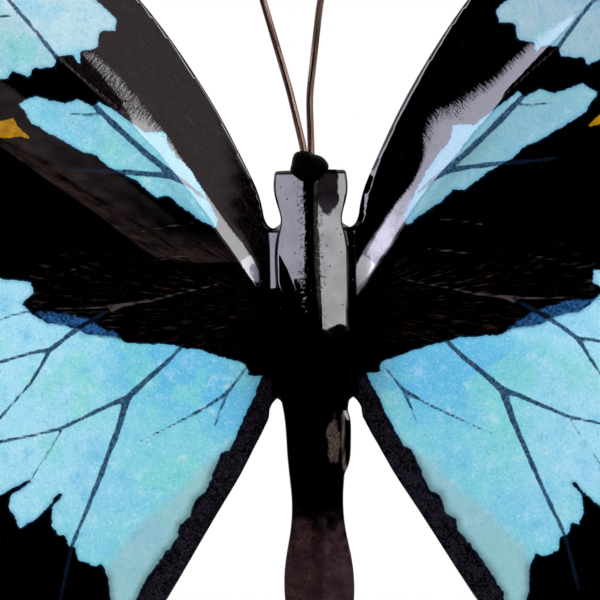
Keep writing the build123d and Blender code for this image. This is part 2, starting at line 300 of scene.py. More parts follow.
# %% Smoothing over a net
SIDES = ([0, 1], [1, 2], [2, 0])  # the corners at the ends of a triangle's sides
PULL = 0.6  # how far a value goes towards its neighbours' mean in one pass
FOLD_ROUNDING = 3  # passes over a wing's heights


def smoothed(values, faces, passes):
    """Each value drawn towards the mean of its neighbours in the net."""
    pairs = np.sort(np.vstack([faces[:, side] for side in SIDES]), axis=1)
    a, b = np.unique(pairs, axis=0).T
    degree = np.bincount(a, minlength=len(values)) + np.bincount(b, minlength=len(values))
    for _ in range(passes):
        total = np.bincount(a, values[b], len(values)) + np.bincount(b, values[a], len(values))
        values = (1 - PULL) * values + PULL * total / np.maximum(degree, 1)
    return values


print("a bare fold is rounded over about", round(FOLD_ROUNDING * NET_STEP / MM, 1), "mm")

# %% [markdown]
# ## From net to sheet
# The net becomes a closed sheet: its points once in front, once 0.6 mm behind, and a strip round every
# border. The front rim drops back a little, because lacquer runs thin over a cut edge and rounds it. Where
# it did not, the edge between front and strip is marked sharp, or shading would smear across it.

# %% Closed sheets
SHEET = 0.6 * MM
RIM_DROP = 0.13 * MM  # how far a rim is usually rounded off
SQUARE_BELOW = 0.05 * MM  # a rim that drops back less than this stays sharp


def smooth_mesh(name, points, faces):
    """A mesh with smooth shading, from points in metres."""
    mesh = bpy.data.meshes.new(name)
    mesh.from_pydata(points, [], faces)
    mesh.polygons.foreach_set("use_smooth", np.ones(len(mesh.polygons), bool))
    mesh.update()
    return mesh


def sheet_mesh(name, spots, faces, rim_drop):
    """A closed sheet from a net; the front has material 0 and everything else material 1."""
    front = spots.copy()
    front[:, 1] += rim_drop
    back = spots + np.array([0, SHEET, 0])
    corner = spots[faces[0]]
    turn = np.cross(corner[1] - corner[0], corner[2] - corner[0])[1]
    front_faces = faces if turn < 0 else faces[:, ::-1]
    count = len(spots)
    known = set(map(tuple, np.vstack([front_faces[:, side] for side in SIDES])))
    rim = [(a, b) for a, b in known if (b, a) not in known]
    strip = [(b, a, a + count, b + count) for a, b in rim]
    all_faces = front_faces.tolist() + (front_faces[:, ::-1] + count).tolist() + strip
    mesh = smooth_mesh(name, np.vstack([front, back]).tolist(), all_faces)
    slots = np.ones(len(mesh.polygons), int)
    slots[:len(front_faces)] = 0
    mesh.polygons.foreach_set("material_index", slots)
    square = {(min(a, b), max(a, b)) for a, b in rim if max(rim_drop[a], rim_drop[b]) < SQUARE_BELOW}
    ends = np.zeros(2 * len(mesh.edges), int)
    mesh.edges.foreach_get("vertices", ends)
    ends = np.sort(ends.reshape(-1, 2), axis=1)
    sharp = mesh.attributes.new("sharp_edge", "BOOLEAN", "EDGE")
    sharp.data.foreach_set("value", [(a, b) in square for a, b in ends.tolist()])
    return mesh


def add_piece(name, mesh):
    """A visible piece that rides on the one body."""
    piece = bpy.data.objects.new(name, mesh)
    bpy.context.scene.collection.objects.link(piece)
    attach(piece, "root")
    return piece


def add_field(mesh, name, values):
    """A number for each point of a mesh; on a sheet the points behind get the same as those in front."""
    field = mesh.attributes.new(name, "FLOAT", "POINT")
    field.data.foreach_set("value", np.resize(values, len(mesh.vertices)).astype(np.float32))


print("a sheet is", round(SHEET / MM, 2), "mm thick and its rim drops back", round(RIM_DROP / MM, 2), "mm")

# %% [markdown]
# ## The fold that catches the light
# On the real forewing the ridge behind the leading edge is pinched: a strip along it is steeper than the
# panels, so a lamp shows as a bright band there and not over the whole panel. The wings were folded by hand
# and differ. On the right the strip is widest half way out. On the left it rolls over the ridge near the
# root and leaves it further out, beside a stretch that was rubbed dull. A table says where the strip runs,
# and the net is raised to its slope. The same function says where a highlight is painted on the strip's
# root end and where a glow is painted into the right strip's ink near the root, because both follow the
# strip.

# %% The pinched ridge
RIDGE = [(5.83, -9.69), (20.6, 9.7), (49.6, 38.8), (81.6, 58.0), (119.0, 70.0)]
# Place along the ridge, the strip's edge behind and before the ridge, how soft that last edge is, how much
# it is combed by brush marks, and how steep it is; all but the last two in millimetres
PINCH = {
    "forewing_right": [
        (0, -1.5, 1.5, 0.2, 0.1, 0.92), (5.7, -1.3, 1.9, 0.2, 0.2, 0.92), (8, -1.2, 2.2, 0.2, 0.3, 0.95),
        (10.2, -1.2, 2.3, 0.3, 0.3, 1), (13.7, -1.0, 2.4, 0.4, 0.4, 1), (18.2, -0.8, 2.65, 0.4, 0.4, 0.95),
        (21.5, -0.8, 2.3, 0.5, 0.3, 0.9), (24.3, -0.8, 2.5, 0.6, 0.3, 0.9), (26.8, -0.7, 3.6, 0.9, 0.5, 0.9),
        (29.2, -0.5, 5.4, 1.3, 1.1, 0.93), (31.6, -0.4, 6.4, 1.4, 1.1, 0.97), (33.8, -0.3, 6.1, 1.3, 1.1, 1),
        (36.4, -0.2, 5.0, 1.1, 0.9, 1), (39, -0.1, 4.7, 0.9, 0.8, 1), (42, 0.4, 4.0, 0.8, 0.7, 1),
        (45, 0.8, 3.6, 0.6, 0.6, 1), (48, 0.7, 3.7, 0.6, 0.6, 1), (51, 0.75, 3.45, 0.6, 0.6, 1),
        (54, 0.7, 3.4, 0.6, 0.6, 1), (57, 0.6, 3.1, 0.6, 0.5, 1), (60, 0.6, 2.3, 0.5, 0.4, 1),
        (63.5, 0.6, 1.1, 0.5, 0.4, 0.9), (80, 0.3, 0.8, 0.4, 0.2, 0.8), (150, 0.3, 0.6, 0.3, 0.1, 0.8),
    ],
    "forewing_left": [
        (0, -1.9, -0.2, 0.2, 0.1, 0.92), (4.3, -1.9, 0.2, 0.2, 0.1, 0.92), (6.4, -1.9, 0.6, 0.2, 0.2, 0.93),
        (8.8, -1.85, 0.9, 0.2, 0.3, 0.97), (11.8, -1.7, 1.05, 0.2, 0.3, 1), (15, -1.6, 0.8, 0.2, 0.2, 1),
        (18.3, -1.2, 0.95, 0.2, 0.2, 1), (21.5, -1.1, 1.0, 0.3, 0.2, 1), (24.4, -1.0, 1.05, 0.3, 0.2, 1),
        (26.5, -0.8, 1.6, 0.3, 0.2, 1), (29.2, -0.4, 2.1, 0.4, 0.2, 1), (32, 0.1, 2.75, 0.5, 0.4, 1),
        (36, 0.0, 2.85, 0.7, 0.9, 0.97), (38.8, 0.1, 3.0, 0.9, 1.3, 0.90), (40.6, 1.2, 3.0, 0.9, 1.7, 0.86),
        (42.4, 2.2, 3.1, 0.7, 1.8, 0.85), (45, 2.5, 3.5, 0.8, 1.8, 0.84), (48, 2.9, 3.6, 0.7, 1.6, 0.84),
        (51, 3.1, 3.7, 0.7, 1.3, 0.84), (53, 3.1, 3.3, 0.5, 0.6, 0.84), (56, 3.0, 3.05, 0.3, 0.2, 0.8),
        (150, 3.0, 3.05, 0.3, 0.0, 0.8),
    ],
}
print("the ridge is drawn over", round(sum(math.dist(a, b) for a, b in zip(RIDGE, RIDGE[1:]))), "mm")

# %% Distances and easing


def along(points, line):
    """Distance from each point to a drawn line, which side of it the point is on, and the nearest place."""
    line = np.array(line, float)
    best = np.full(len(points), 1e9)
    side = np.zeros(len(points))
    place = np.zeros(len(points))
    run = 0.0
    for a, b in zip(line, line[1:]):
        step = b - a
        length = math.hypot(*step)
        t = np.clip(((points - a) @ step) / length**2, 0, 1)
        offset = points - (a + t[:, None] * step)
        distance = np.hypot(*offset.T)
        closer = distance < best
        best = np.where(closer, distance, best)
        side = np.where(closer, np.sign(step[0] * offset[:, 1] - step[1] * offset[:, 0]), side)
        place = np.where(closer, run + t * length, place)
        run += length
    return best, side, place


def swell(value, low, high):
    """0 at low, 1 at high, eased between."""
    t = np.clip((value - low) / (high - low), 0, 1)
    return t * t * (3 - 2 * t)


print("a quarter of the way a swell has reached", round(float(swell(0.25, 0, 1)), 2))

# %% Where the strip stands out
STRIP_SLOPE = 0.60  # the strip's own slope where the table says 1
PANEL_SLOPE = [(0, 0.22), (24, 0.31), (40, 0.38)]  # the leading panel's own slope, along the ridge
INNER_SLOPE = 0.045  # the panel's slope behind the ridge
FALL = 2.2  # how far the raised strip takes to come down behind
STRIP_END = {"forewing_left": (8.4, 9.1), "forewing_right": (7.2, 7.8)}  # distance from the middle plane
# Where a highlight is painted on the strip's root end: place along the ridge, its edges behind and before
# the ridge
ROOT_HIGHLIGHT = {
    "forewing_left": [
        (4.0, -1.2, -1.1), (4.7, -1.55, -0.4), (6.0, -1.6, 0.35), (8.0, -1.4, 0.75), (8.7, -1.2, 0.8),
    ],
    "forewing_right": [
        (2.2, -0.5, -0.4), (3.0, -0.5, 0.6), (5.2, -0.7, 1.8), (6.4, -0.7, 2.0), (7.2, -0.6, 2.1),
    ],
}
DULL_STRETCH = (40, 42.5, 53, 56)  # places on the left ridge where it starts, is full, weakens and ends
BAND_HIGHLIGHT_SPAN = (9, 27)  # places on the right ridge between which the painted glow fades out


def pinched(wing, spots):
    """How far the strip along the ridge stands out, in millimetres, and the fields that follow it."""
    right = wing.endswith("right")
    flat = np.column_stack([np.abs(spots[:, 0]), spots[:, 2]]) / MM
    away, side, place = along(flat, RIDGE)
    places, *columns = np.array(PINCH[wing], float).T
    behind, before, soft, combed, steep = (np.interp(place, places, column) for column in columns)
    across = away * side
    # The strip rises by its slope over the room that is left to its edge, eased where that edge is soft
    inside = np.maximum(across, behind)
    room = before - np.maximum(inside, 0)
    eased = np.where(room > soft, room, np.clip(room + soft, 0, None)**2 / (4 * soft))
    panel = np.interp(place, *np.array(PANEL_SLOPE).T)
    slope = STRIP_SLOPE * steep
    lift = (slope - panel) * eased + (slope - INNER_SLOPE) * np.maximum(-inside, 0)
    fall = np.minimum(FALL, np.where(behind > 0.5, behind, FALL))
    lift *= 1 - swell(behind - across, 0, fall)
    lift *= swell(flat[:, 0], *STRIP_END[wing])
    strip = swell(across, behind - 0.1, behind + 0.7) * (1 - swell(across, before - 0.2, before + 0.4))
    dull = swell(place, *DULL_STRETCH[:2]) * (1 - swell(place, *DULL_STRETCH[2:])) * swell(across, 0.5, 0.9)
    dull *= (1 - swell(across, behind - 0.1, behind + 0.5)) * (not right)
    places, *columns = np.array(ROOT_HIGHLIGHT[wing]).T
    low, high = (np.interp(place, places, column) for column in columns)
    root_highlight_reach = np.minimum(across - low, high - across)
    root_highlight_reach = np.minimum(root_highlight_reach, np.minimum(place - places[0], places[-1] - place))
    return lift, {
        "comb": combed * np.exp(-((across - before) / (0.6 + soft))**2),
        "strip": strip,
        "dull": dull,
        "band_highlight": strip * (1 - swell(place, *BAND_HIGHLIGHT_SPAN)) * right,
        "root_highlight_mm": root_highlight_reach,
    }


print("the strip is steeper than the panel by", round(STRIP_SLOPE - PANEL_SLOPE[-1][1], 2), "far out")

# %% [markdown]
# ## The leading edge
# The blanks were cut on hand shears. On the right forewing the blades rolled the sheet's leading edge back
# near the root, and that narrow slope mirrors the lamp as a pale line beside the head. The net falls back by
# the roll's slope times the distance that is left to the border, which a tree of border points gives. The
# roll is added after the smoothing, because a smoothed roll is too shallow for the lamp at its very edge.

# %% The rolled edge
ROLL_WIDTH = [(8, 1.4), (14, 1.4), (17, 0.95), (24, 0.8), (32, 0.7), (37, 0.3), (60, 0.0)]  # reach and width
ROLL_SLOPE = 0.42


def rolled(spots, reach, edge):
    """How far the sheet falls back towards its leading edge, in metres."""
    border = KDTree(int(edge.sum()))
    for number, (x, _, z) in enumerate(spots[edge]):
        border.insert((x, 0.0, z), number)
    border.balance()
    away = np.array([border.find((x, 0.0, z))[2] for x, _, z in spots]) / MM
    return ROLL_SLOPE * np.maximum(np.interp(reach, *np.array(ROLL_WIDTH).T) - away, 0) * MM


print("the roll drops back by", round(ROLL_SLOPE * ROLL_WIDTH[0][1], 2), "mm at most")

# %% The four wing sheets
LEADING_ABOVE = (0.75, -12 * MM)  # a leading edge lies above a line of this slope and height at the middle
OTHER_EDGES = 0.15  # share of the rim's drop on a forewing's other edges, where the lacquer is thin
# How far a leading edge is rounded off: distance from the root and drop
EDGE_DROP = {
    "forewing_left": [(10, 0.17), (60, 0.095)],
    "forewing_right": [(15, 0.03), (22, 0.16), (60, 0.095)],
}
NOWHERE = -20.0  # a drawn field where its drawing isn't
UNPINCHED = {"comb": 0.0, "strip": 0.0, "dull": 0.0, "band_highlight": 0.0, "root_highlight_mm": NOWHERE}

wings = {}
for wing, (spots, faces, on_border) in nets.items():
    shaped = spots.copy()
    fields = {name: np.full(len(spots), value) for name, value in UNPINCHED.items()}
    rim_drop = np.where(on_border, RIM_DROP, 0.0)
    roll = 0.0
    if wing.startswith("forewing"):
        lift, fields = pinched(wing, spots)
        shaped[:, 1] -= lift * MM
        slope, middle = LEADING_ABOVE
        leading = on_border & (spots[:, 2] > slope * np.abs(spots[:, 0]) + middle)
        reach = np.hypot(spots[:, 0], spots[:, 2]) / MM
        edge_drop = np.interp(reach, *np.array(EDGE_DROP[wing]).T) * MM
        rim_drop = np.where(leading, edge_drop, OTHER_EDGES * rim_drop)
        if wing.endswith("right"):
            roll = rolled(spots, reach, leading)
    shaped[:, 1] = smoothed(shaped[:, 1], faces, FOLD_ROUNDING) + roll
    mesh = sheet_mesh(wing + "_sheet", shaped, faces, rim_drop)
    for name, values in fields.items():
        add_field(mesh, name, values)
    wings[wing] = (mesh, shaped)
    print(wing, "stands out by", round(float((spots[:, 1] - shaped[:, 1]).max()) / MM, 2), "mm at the ridge")

# %% [markdown]
# ## The print, drawn as outlines
# The real pattern is a butterfly's natural one, printed on the sheet. Its patches and veins are drawn here
# once, on the left wings and in the picture's pixels, and carried on past the picture's edges. Each
# drawing becomes a field on the wing net: how many millimetres a point lies inside the patch, or outside
# the vein. A field keeps an edge sharp between the net's points, and a material can roughen that edge.

# %% Patches on the left wings
FOREWING_PATCHES = {
    "blue_mm": [
        [
            (96, 0), (117, 19), (115, 31), (99, 32), (98, 48), (81, 52), (80, 63), (73, 56), (57, 57),
            (55, 67), (33, 69), (29, 77), (11, 70), (8, 78), (-14, 84), (-45, 98), (-80, 92), (-112, 70),
            (-140, 72), (-168, 40), (-196, 12), (-214, -38), (-232, -86), (-214, -118), (-172, -126),
            (-118, -116), (-66, -96), (-14, -64), (36, -34), (72, -16),
        ],
        [
            (19, 105), (36, 96), (65, 104), (77, 99), (94, 107), (98, 101), (122, 116), (145, 132),
            (165, 132), (168, 145), (191, 172), (203, 191), (218, 220), (216, 229), (184, 209),
            (168, 195), (157, 197), (134, 180), (107, 166), (92, 153), (84, 153), (48, 132), (33, 124),
        ],
    ],
    "yellow_mm": [
        [
            (-66, 108), (-30, 118), (0, 122), (13, 118), (19, 128), (32, 139), (20, 137), (0, 138),
            (-34, 138), (-60, 130),
        ],
    ],
}
# Beside the blue: dark scales over it, a sheen painted over the panel beside the inner margin, and the
# margin itself, which carries a painted sheen too
HINDWING_PATCHES = {
    "blue_mm": [
        [
            (0, 279), (31, 282), (33, 294), (21, 303), (33, 314), (47, 323), (61, 324), (78, 328),
            (86, 334), (114, 336), (127, 343), (167, 344), (204, 352), (245, 364), (249, 370),
            (248, 375), (262, 376), (249, 407), (237, 433), (229, 450), (222, 453), (212, 476),
            (204, 494), (194, 500), (190, 517), (180, 525), (178, 537), (159, 560), (143, 586),
            (136, 600), (131, 622), (126, 652), (119, 628), (110, 600), (108, 578), (102, 563),
            (94, 566), (78, 560), (76, 547), (69, 545), (65, 534), (57, 535), (52, 525), (53, 507),
            (63, 494), (59, 493), (41, 515), (20, 528), (9, 507), (12, 494), (32, 482), (31, 479),
            (12, 488), (0, 496), (-22, 490), (-38, 506), (-56, 480), (-84, 474), (-100, 452),
            (-136, 438), (-158, 404), (-186, 372), (-196, 326), (-176, 284), (-128, 268), (-60, 272),
        ],
    ],
    "scales_mm": [
        [
            (22, 303), (34, 312), (50, 311), (76, 315), (98, 323), (114, 333), (124, 341), (112, 338),
            (86, 335), (61, 325), (47, 324),
        ],
    ],
    "hindwing_sheen_mm": [
        [
            (222, 447), (206, 462), (182, 487), (152, 512), (118, 548), (98, 580), (84, 606), (60, 660),
            (140, 680), (150, 600), (190, 540), (215, 500), (240, 450), (232, 436),
        ],
    ],
    "margin_sheen_mm": [
        [
            (262, 377), (300, 385), (262, 470), (190, 620), (150, 720), (100, 720), (128, 640),
            (136, 600), (159, 560), (180, 525), (204, 494), (222, 453), (237, 433), (249, 407),
        ],
    ],
}
print("patches drawn:", *FOREWING_PATCHES, *HINDWING_PATCHES)

# %% Veins and hairs on the left wings
# Veins: pixel x, y and the width there in pixels
FOREWING_VEINS = [
    [(20, 14, 2), (38, 34, 4), (57, 58, 5)],
    [(96, 107, 6), (123, 133, 6.5), (150, 157, 6), (168, 171, 6), (186, 184, 4), (203, 197, 3)],
    [
        (65, 169, 3), (98, 171, 4), (125, 172, 5), (150, 174, 5.5), (170, 176, 6), (188, 185, 4),
        (203, 197, 3),
    ],
    [(66, 113, 1.5), (84, 115, 2.5), (102, 114, 3)],
    [(-190, 30, 3), (-120, 24, 4), (-50, 24, 4), (20, 14, 2)],
    [(-150, -90, 2), (-80, -60, 4), (-10, -22, 4), (38, 34, 4)],
]
HINDWING_VEINS = [
    [(182, 346, 4), (167, 362, 5), (150, 377, 5.5), (136, 390, 6), (127, 399, 8)],
    [
        (127, 399, 8), (118, 430, 6), (109, 453, 5.5), (100, 477, 5), (88, 507, 4.5), (72, 545, 4),
        (60, 600, 3),
    ],
    [
        (127, 399, 8), (114, 403, 5), (85, 417, 4), (62, 428, 3.5), (30, 436, 3), (0, 442, 3),
        (-70, 452, 3), (-140, 440, 2),
    ],
    [
        (104, 313, 4), (80, 327, 5), (64, 339, 4.5), (50, 350, 5), (40, 368, 3.5), (30, 384, 3),
        (0, 418, 3), (-60, 470, 3),
    ],
    [(50, 350, 5), (35, 352, 3.5), (0, 362, 3), (-80, 372, 3), (-180, 360, 2)],
    [(245, 368, 2.5), (237, 381, 3), (227, 393, 4), (205, 408, 3), (180, 421, 2.5), (139, 442, 1)],
    [(227, 393, 4), (220, 411, 2.5), (213, 431, 1)],
    [(33, 311, 2), (16, 314, 2), (0, 320, 2), (-90, 322, 2)],
    [(60, 432, 2), (46, 456, 2), (32, 479, 2)],
]
# Pale hair lines over the black root of the hindwing; the last line is a highlight painted along the
# forewing's ridge
PALE_HAIRS_AND_GLINT = [
    [(232, 279, 0.6), (215, 285, 1.0), (180, 293, 1.2), (150, 301, 1.8), (122, 305, 3), (112, 310, 3.4)],
    [(122, 305, 2), (80, 309, 1.0), (33, 307, 0.8)],
    [(196, 254, 0.8), (175, 257, 1.2), (148, 262, 0.8)],
    [(193, 223, 0.8), (165, 227, 1), (140, 232, 0.6)],
    [(103, 262, 0.8), (80, 268, 1), (62, 272, 0.6)],
    [(60, 60, 1.2), (92, 86, 1.6), (126, 115, 1.2)],
]
# A brown, streaky sheen painted above the second ridge, sharp on its lower side
SHEEN_EDGE = [
    (-40, 118), (0, 146), (50, 182), (100, 216), (130, 240), (155, 257), (200, 263), (216, 262),
]
HAIR_FIELD = [
    (262, 262), (205, 252), (150, 258), (60, 256), (-60, 262), (-150, 280), (-60, 280), (0, 282),
    (20, 292), (30, 314), (86, 334), (127, 343), (190, 348), (235, 352), (262, 330),
]
print(len(FOREWING_VEINS) + len(HINDWING_VEINS), "veins and", len(PALE_HAIRS_AND_GLINT), "pale lines drawn")

# %% From drawing to distance


def seen_flat(spots):
    """Where points appear in the picture, in millimetres from the middle, left and right folded together."""
    nearer = camera_distance / (camera_distance + spots[:, 1])
    x = centre_x + (spots[:, 0] / MM - centre_x) * nearer
    z = centre_z + (spots[:, 2] / MM - centre_z) * nearer
    return np.column_stack([-np.abs(x), z])


def inside_by(points, drawing):
    """How far each point lies inside a drawn patch, in millimetres; outside is negative."""
    outline = np.array([on_ornament(pixel) for pixel in drawing])
    away = along(points, np.vstack([outline, outline[:1]]))[0]
    inside = np.zeros(len(points), bool)
    for (ax, az), (bx, bz) in zip(outline, np.roll(outline, -1, axis=0)):
        crosses = (az > points[:, 1]) != (bz > points[:, 1])
        with np.errstate(divide="ignore", invalid="ignore"):
            at = ax + (points[:, 1] - az) / (bz - az) * (bx - ax)
        inside ^= crosses & (points[:, 0] < at)
    return np.where(inside, away, -away)


def beyond_vein(points, drawings):
    """How far each point lies outside the nearest drawn vein, in millimetres; on it is negative."""
    nearest = np.full(len(points), -NOWHERE)
    for drawing in drawings:
        for (ax, ay, aw), (bx, by, bw) in zip(drawing, drawing[1:]):
            a, b = np.array(on_ornament((ax, ay))), np.array(on_ornament((bx, by)))
            t = np.clip(((points - a) @ (b - a)) / ((b - a) @ (b - a)), 0, 1)
            distance = np.hypot(*(points - a - t[:, None] * (b - a)).T)
            half_width = (aw + t * (bw - aw)) * MM_PER_PIXEL / 2
            nearest = np.minimum(nearest, distance - half_width)
    return nearest


spot = np.array([on_ornament((120, 430))])
depth = float(inside_by(spot, HINDWING_PATCHES["blue_mm"][0])[0])
print("a spot in the hindwing's blue lies", round(depth, 1), "mm inside its outline")

# %% Fields of the drawings
sheen_line = [on_ornament(pixel) for pixel in SHEEN_EDGE]
for wing, (mesh, shaped) in wings.items():
    flat = seen_flat(shaped)
    patches, veins = HINDWING_PATCHES, HINDWING_VEINS
    if wing.startswith("forewing"):
        patches, veins = FOREWING_PATCHES, FOREWING_VEINS
    fields = {"vein_mm": beyond_vein(flat, veins), "pale_hair_and_glint_mm": beyond_vein(flat, PALE_HAIRS_AND_GLINT),
              "hair_mm": inside_by(flat, HAIR_FIELD)}
    for name in ("blue_mm", "yellow_mm", "scales_mm", "hindwing_sheen_mm", "margin_sheen_mm"):
        fields[name] = np.full(len(flat), NOWHERE)
        for number, drawing in enumerate(patches.get(name, [])):
            inside = inside_by(flat, drawing)
            fields[name] = np.maximum(fields[name], inside) if number else inside
    # The sheens painted above the second ridge and over the leading panel are on the left forewing alone
    for name, line, points in (("ridge_sheen_mm", sheen_line, flat), ("lead_sheen_mm", RIDGE, flat * [-1, 1])):
        away, side, _ = along(points, line)
        fields[name] = away * side if wing == "forewing_left" else np.full(len(flat), NOWHERE)
    for name, values in fields.items():
        add_field(mesh, name, values)
    print(wing, "blue share of the sheet", round(float((fields["blue_mm"] > 0).mean()), 2))

# %% [markdown]
# ## Printed steel under clear lacquer
# The print is ink on white enamel, baked on the sheet and flow-coated with clear lacquer. Ink gives a
# slightly grainy, mottled colour, soft at no more than a few tenths of a millimetre. The lacquer gives the
# gloss: a coat over a fairly matt base, with long waves and small nibs where it pulled as it dried. Each
# ink is a ground colour with layers over it, and every layer follows a field or a noise of its own.

# %% Turquoise ink
WING_ROOT = (0.0, 0.0, -12 * MM)
SKY_MIDDLE = (20 * MM, 0.0, -21.5 * MM)  # where the hindwing is sky blue
SKY_SPREAD = (1 / (15 * MM), 0.0, 1 / (8.5 * MM))


def blue_ink(tree, signed, across, upright, drawn, spread):
    """Turquoise that turns sky blue near the body and pale far out, clouded and flecked like wing scales."""
    place = add_node(tree, "CombineXYZ", {"X": across, "Z": upright})
    place = add_node(tree, "VectorMath SUBTRACT", {0: place, 1: SKY_MIDDLE})
    place = add_node(tree, "VectorMath MULTIPLY", {0: place, 1: SKY_SPREAD})
    sky = add_node(tree, "VectorMath LENGTH", {0: place}, "Value")
    near_edge = add_node(tree, "Math SUBTRACT", {0: 1.5, 1: drawn["blue_mm"]})
    olive = add_node(tree, "Math MINIMUM", {0: near_edge, 1: drawn["hindwing_sheen_mm"]})
    # The right forewing's print is a little greyer than the left one's
    on_fore = {"Value": upright, "From Min": -4 * MM, "From Max": 4 * MM, "To Max": 0.35}
    greyer = add_node(tree, "MapRange", on_fore)
    return laid_over(tree, srgb("#80d2de"), [
        (across, 22 * MM, 50 * MM, 1.0, "#a4dff0"),
        (upright, -36 * MM, -58 * MM, 0.85, "#7bd0d8"),
        (sky, 1.3, 0.5, 0.9, "#62bee4"),
        (upright, -2 * MM, 8 * MM, 0.9, "#8cd2df"),
        (upright, 24 * MM, 36 * MM, 1.0, "#b4d8e0"),
        (spread["drift"], 0.53, 0.64, 0.35, "#6cc0e4"),
        (spread["drift"], 0.45, 0.36, 0.45, "#84dccd"),
        (spread["cloud"], 0.48, 0.30, 0.45, "#55b3d8"),
        (spread["cloud"], 0.52, 0.72, 0.38, "#d9f1f6"),
        (spread["grain"], 0.47, 0.28, 0.50, "#459fbf"),
        (spread["grain"], 0.53, 0.72, 0.45, "#e2f3f6"),
        (signed, 5 * MM, 15 * MM, greyer, "#8796a2"),
        # Painted shade along the ridge strip: the blue is darker where the lamp's band lies over it
        (drawn["strip"], 0.0, 1.0, 0.50, "#5c96a8"),
        # A painted sheen: the blue turns paler and greyer over the panel beside the inner margin
        (drawn["hindwing_sheen_mm"], -0.8, 1.3, 0.50, "#a3bcbe"),
        (drawn["blue_mm"], 0.8, 0.0, 0.50, "#57a0bd"),
        (olive, 0.0, 1.4, 0.55, "#5d6a58"),
    ])


print("the sky blue is strongest", round(SKY_MIDDLE[0] / MM), "mm beside the body's middle")

# %% Black ink
# Strokes of hair and of painted sheen: how long they are in millimetres, how much finer across, and how much
# they bend
STROKES = {"hair": (4.2, 70.0, 0.012), "painted_sheen": (3.4, 46.0, 0.012), "edge": (7.0, 2.2, 0.8)}


def hair_strokes(tree, position, drawn, spread):
    """Noise drawn out along a ray from the wing's root, or along the leading edge."""
    shifted = add_node(tree, "VectorMath SUBTRACT", {0: position, 1: WING_ROOT})
    reach = add_node(tree, "VectorMath LENGTH", {0: shifted}, "Value")
    x = add_node(tree, "SeparateXYZ", {0: shifted}, "X")
    z = add_node(tree, "SeparateXYZ", {0: shifted}, "Z")
    x = add_node(tree, "Math ABSOLUTE", {0: x})
    turn = add_node(tree, "Math ARCTAN2", {0: z, 1: x})
    strokes = {}
    for name, (length, finer, bend) in STROKES.items():
        beside = drawn["lead_sheen_mm"] if name == "edge" else turn
        bent = add_node(tree, "Math MULTIPLY_ADD", {0: spread["coarse"], 1: bend, 2: beside})
        bent = add_node(tree, "Math MULTIPLY", {0: bent, 1: finer})
        run = add_node(tree, "Math DIVIDE", {0: reach, 1: length * MM})
        vector = add_node(tree, "CombineXYZ", {"X": run, "Y": bent})
        sockets = {"Vector": vector, "Scale": 1.0, "Detail": 4.0, "Roughness": 0.62}
        strokes[name] = add_node(tree, "TexNoise", sockets)
    return strokes


def black_ink(tree, position, drawn, spread):
    """Black scales with a trace of violet, brown hairs in tufts, and painted sheens: brown streaks above the
    second ridge, grain on the left leading panel and violet grey on the inner margin.
    """
    strokes = hair_strokes(tree, position, drawn, spread)
    shares = {}
    for name, follows, start, full, low, high in (
        ("in_field", drawn["hair_mm"], -1.0, 1.5, 0.0, 1.0),
        ("in_tuft", spread["tuft"], 0.40, 0.60, 0.08, 1.0),
        ("ridge_sheen", drawn["ridge_sheen_mm"], 5.6, 0.0, 0.0, 0.75),
        ("ridge_sheen_side", drawn["ridge_sheen_mm"], -0.1, 0.15, 0.0, 1.0),
        ("lead_sheen", drawn["lead_sheen_mm"], 0.5, 2.5, 0.0, 1.0),
        ("margin_sheen", drawn["margin_sheen_mm"], -0.4, 1.0, 0.0, 1.0),
    ):
        reach = {"Value": follows, "From Min": start, "From Max": full, "To Min": low, "To Max": high}
        shares[name] = add_node(tree, "MapRange SMOOTHSTEP", reach)
    # A product of shares keeps hairs inside their field and in tufts, and the painted sheen on one side of
    # its line
    tufts = add_node(tree, "Math MULTIPLY", {0: shares["in_field"], 1: shares["in_tuft"]})
    ridge_sheen = add_node(tree, "Math MULTIPLY", {0: shares["ridge_sheen"], 1: shares["ridge_sheen_side"]})
    hair_colour = laid_over(tree, srgb("#4a2a1b"), [(spread["drift"], 0.44, 0.54, 1.0, "#352b2e")])
    return laid_over(tree, srgb("#000000"), [
        (spread["scale"], 0.52, 0.8, 1.0, "#100a10"),
        # A sheen painted over the left leading panel: brown grain, and streaks along the leading edge
        (spread["grain"], 0.45, 0.75, shares["lead_sheen"], "#241c20"),
        (strokes["edge"], 0.56, 0.74, shares["lead_sheen"], "#31231f"),
        # A violet grey sheen painted over the hindwing's black inner margin
        (spread["cloud"], 0.40, 0.65, shares["margin_sheen"], "#15131a"),
        (spread["grain"], 0.42, 0.75, shares["margin_sheen"], "#302c36"),
        # The sheen painted above the second ridge, in brown streaks
        (strokes["painted_sheen"], 0.25, 0.75, ridge_sheen, "#3a2c2b"),
        (strokes["hair"], 0.545, 0.74, tufts, hair_colour),
        (drawn["blue_mm"], -0.40, -0.05, 0.55, "#12304a"),
    ])


print("hairs are about", STROKES["hair"][0], "mm long")

# %% The whole print
BLUE_EDGE = 0.07  # softness of a printed edge, in millimetres
# How far an edge wanders, as a share of the field that roughens it
RAGGED = {
    "blue_mm": 1.0, "vein_mm": 0.45, "yellow_mm": 0.7, "scales_mm": 1.6, "hindwing_sheen_mm": 1.5, "pale_hair_and_glint_mm": 0.3,
    "hair_mm": 4.0, "root_highlight_mm": 0.5,
}


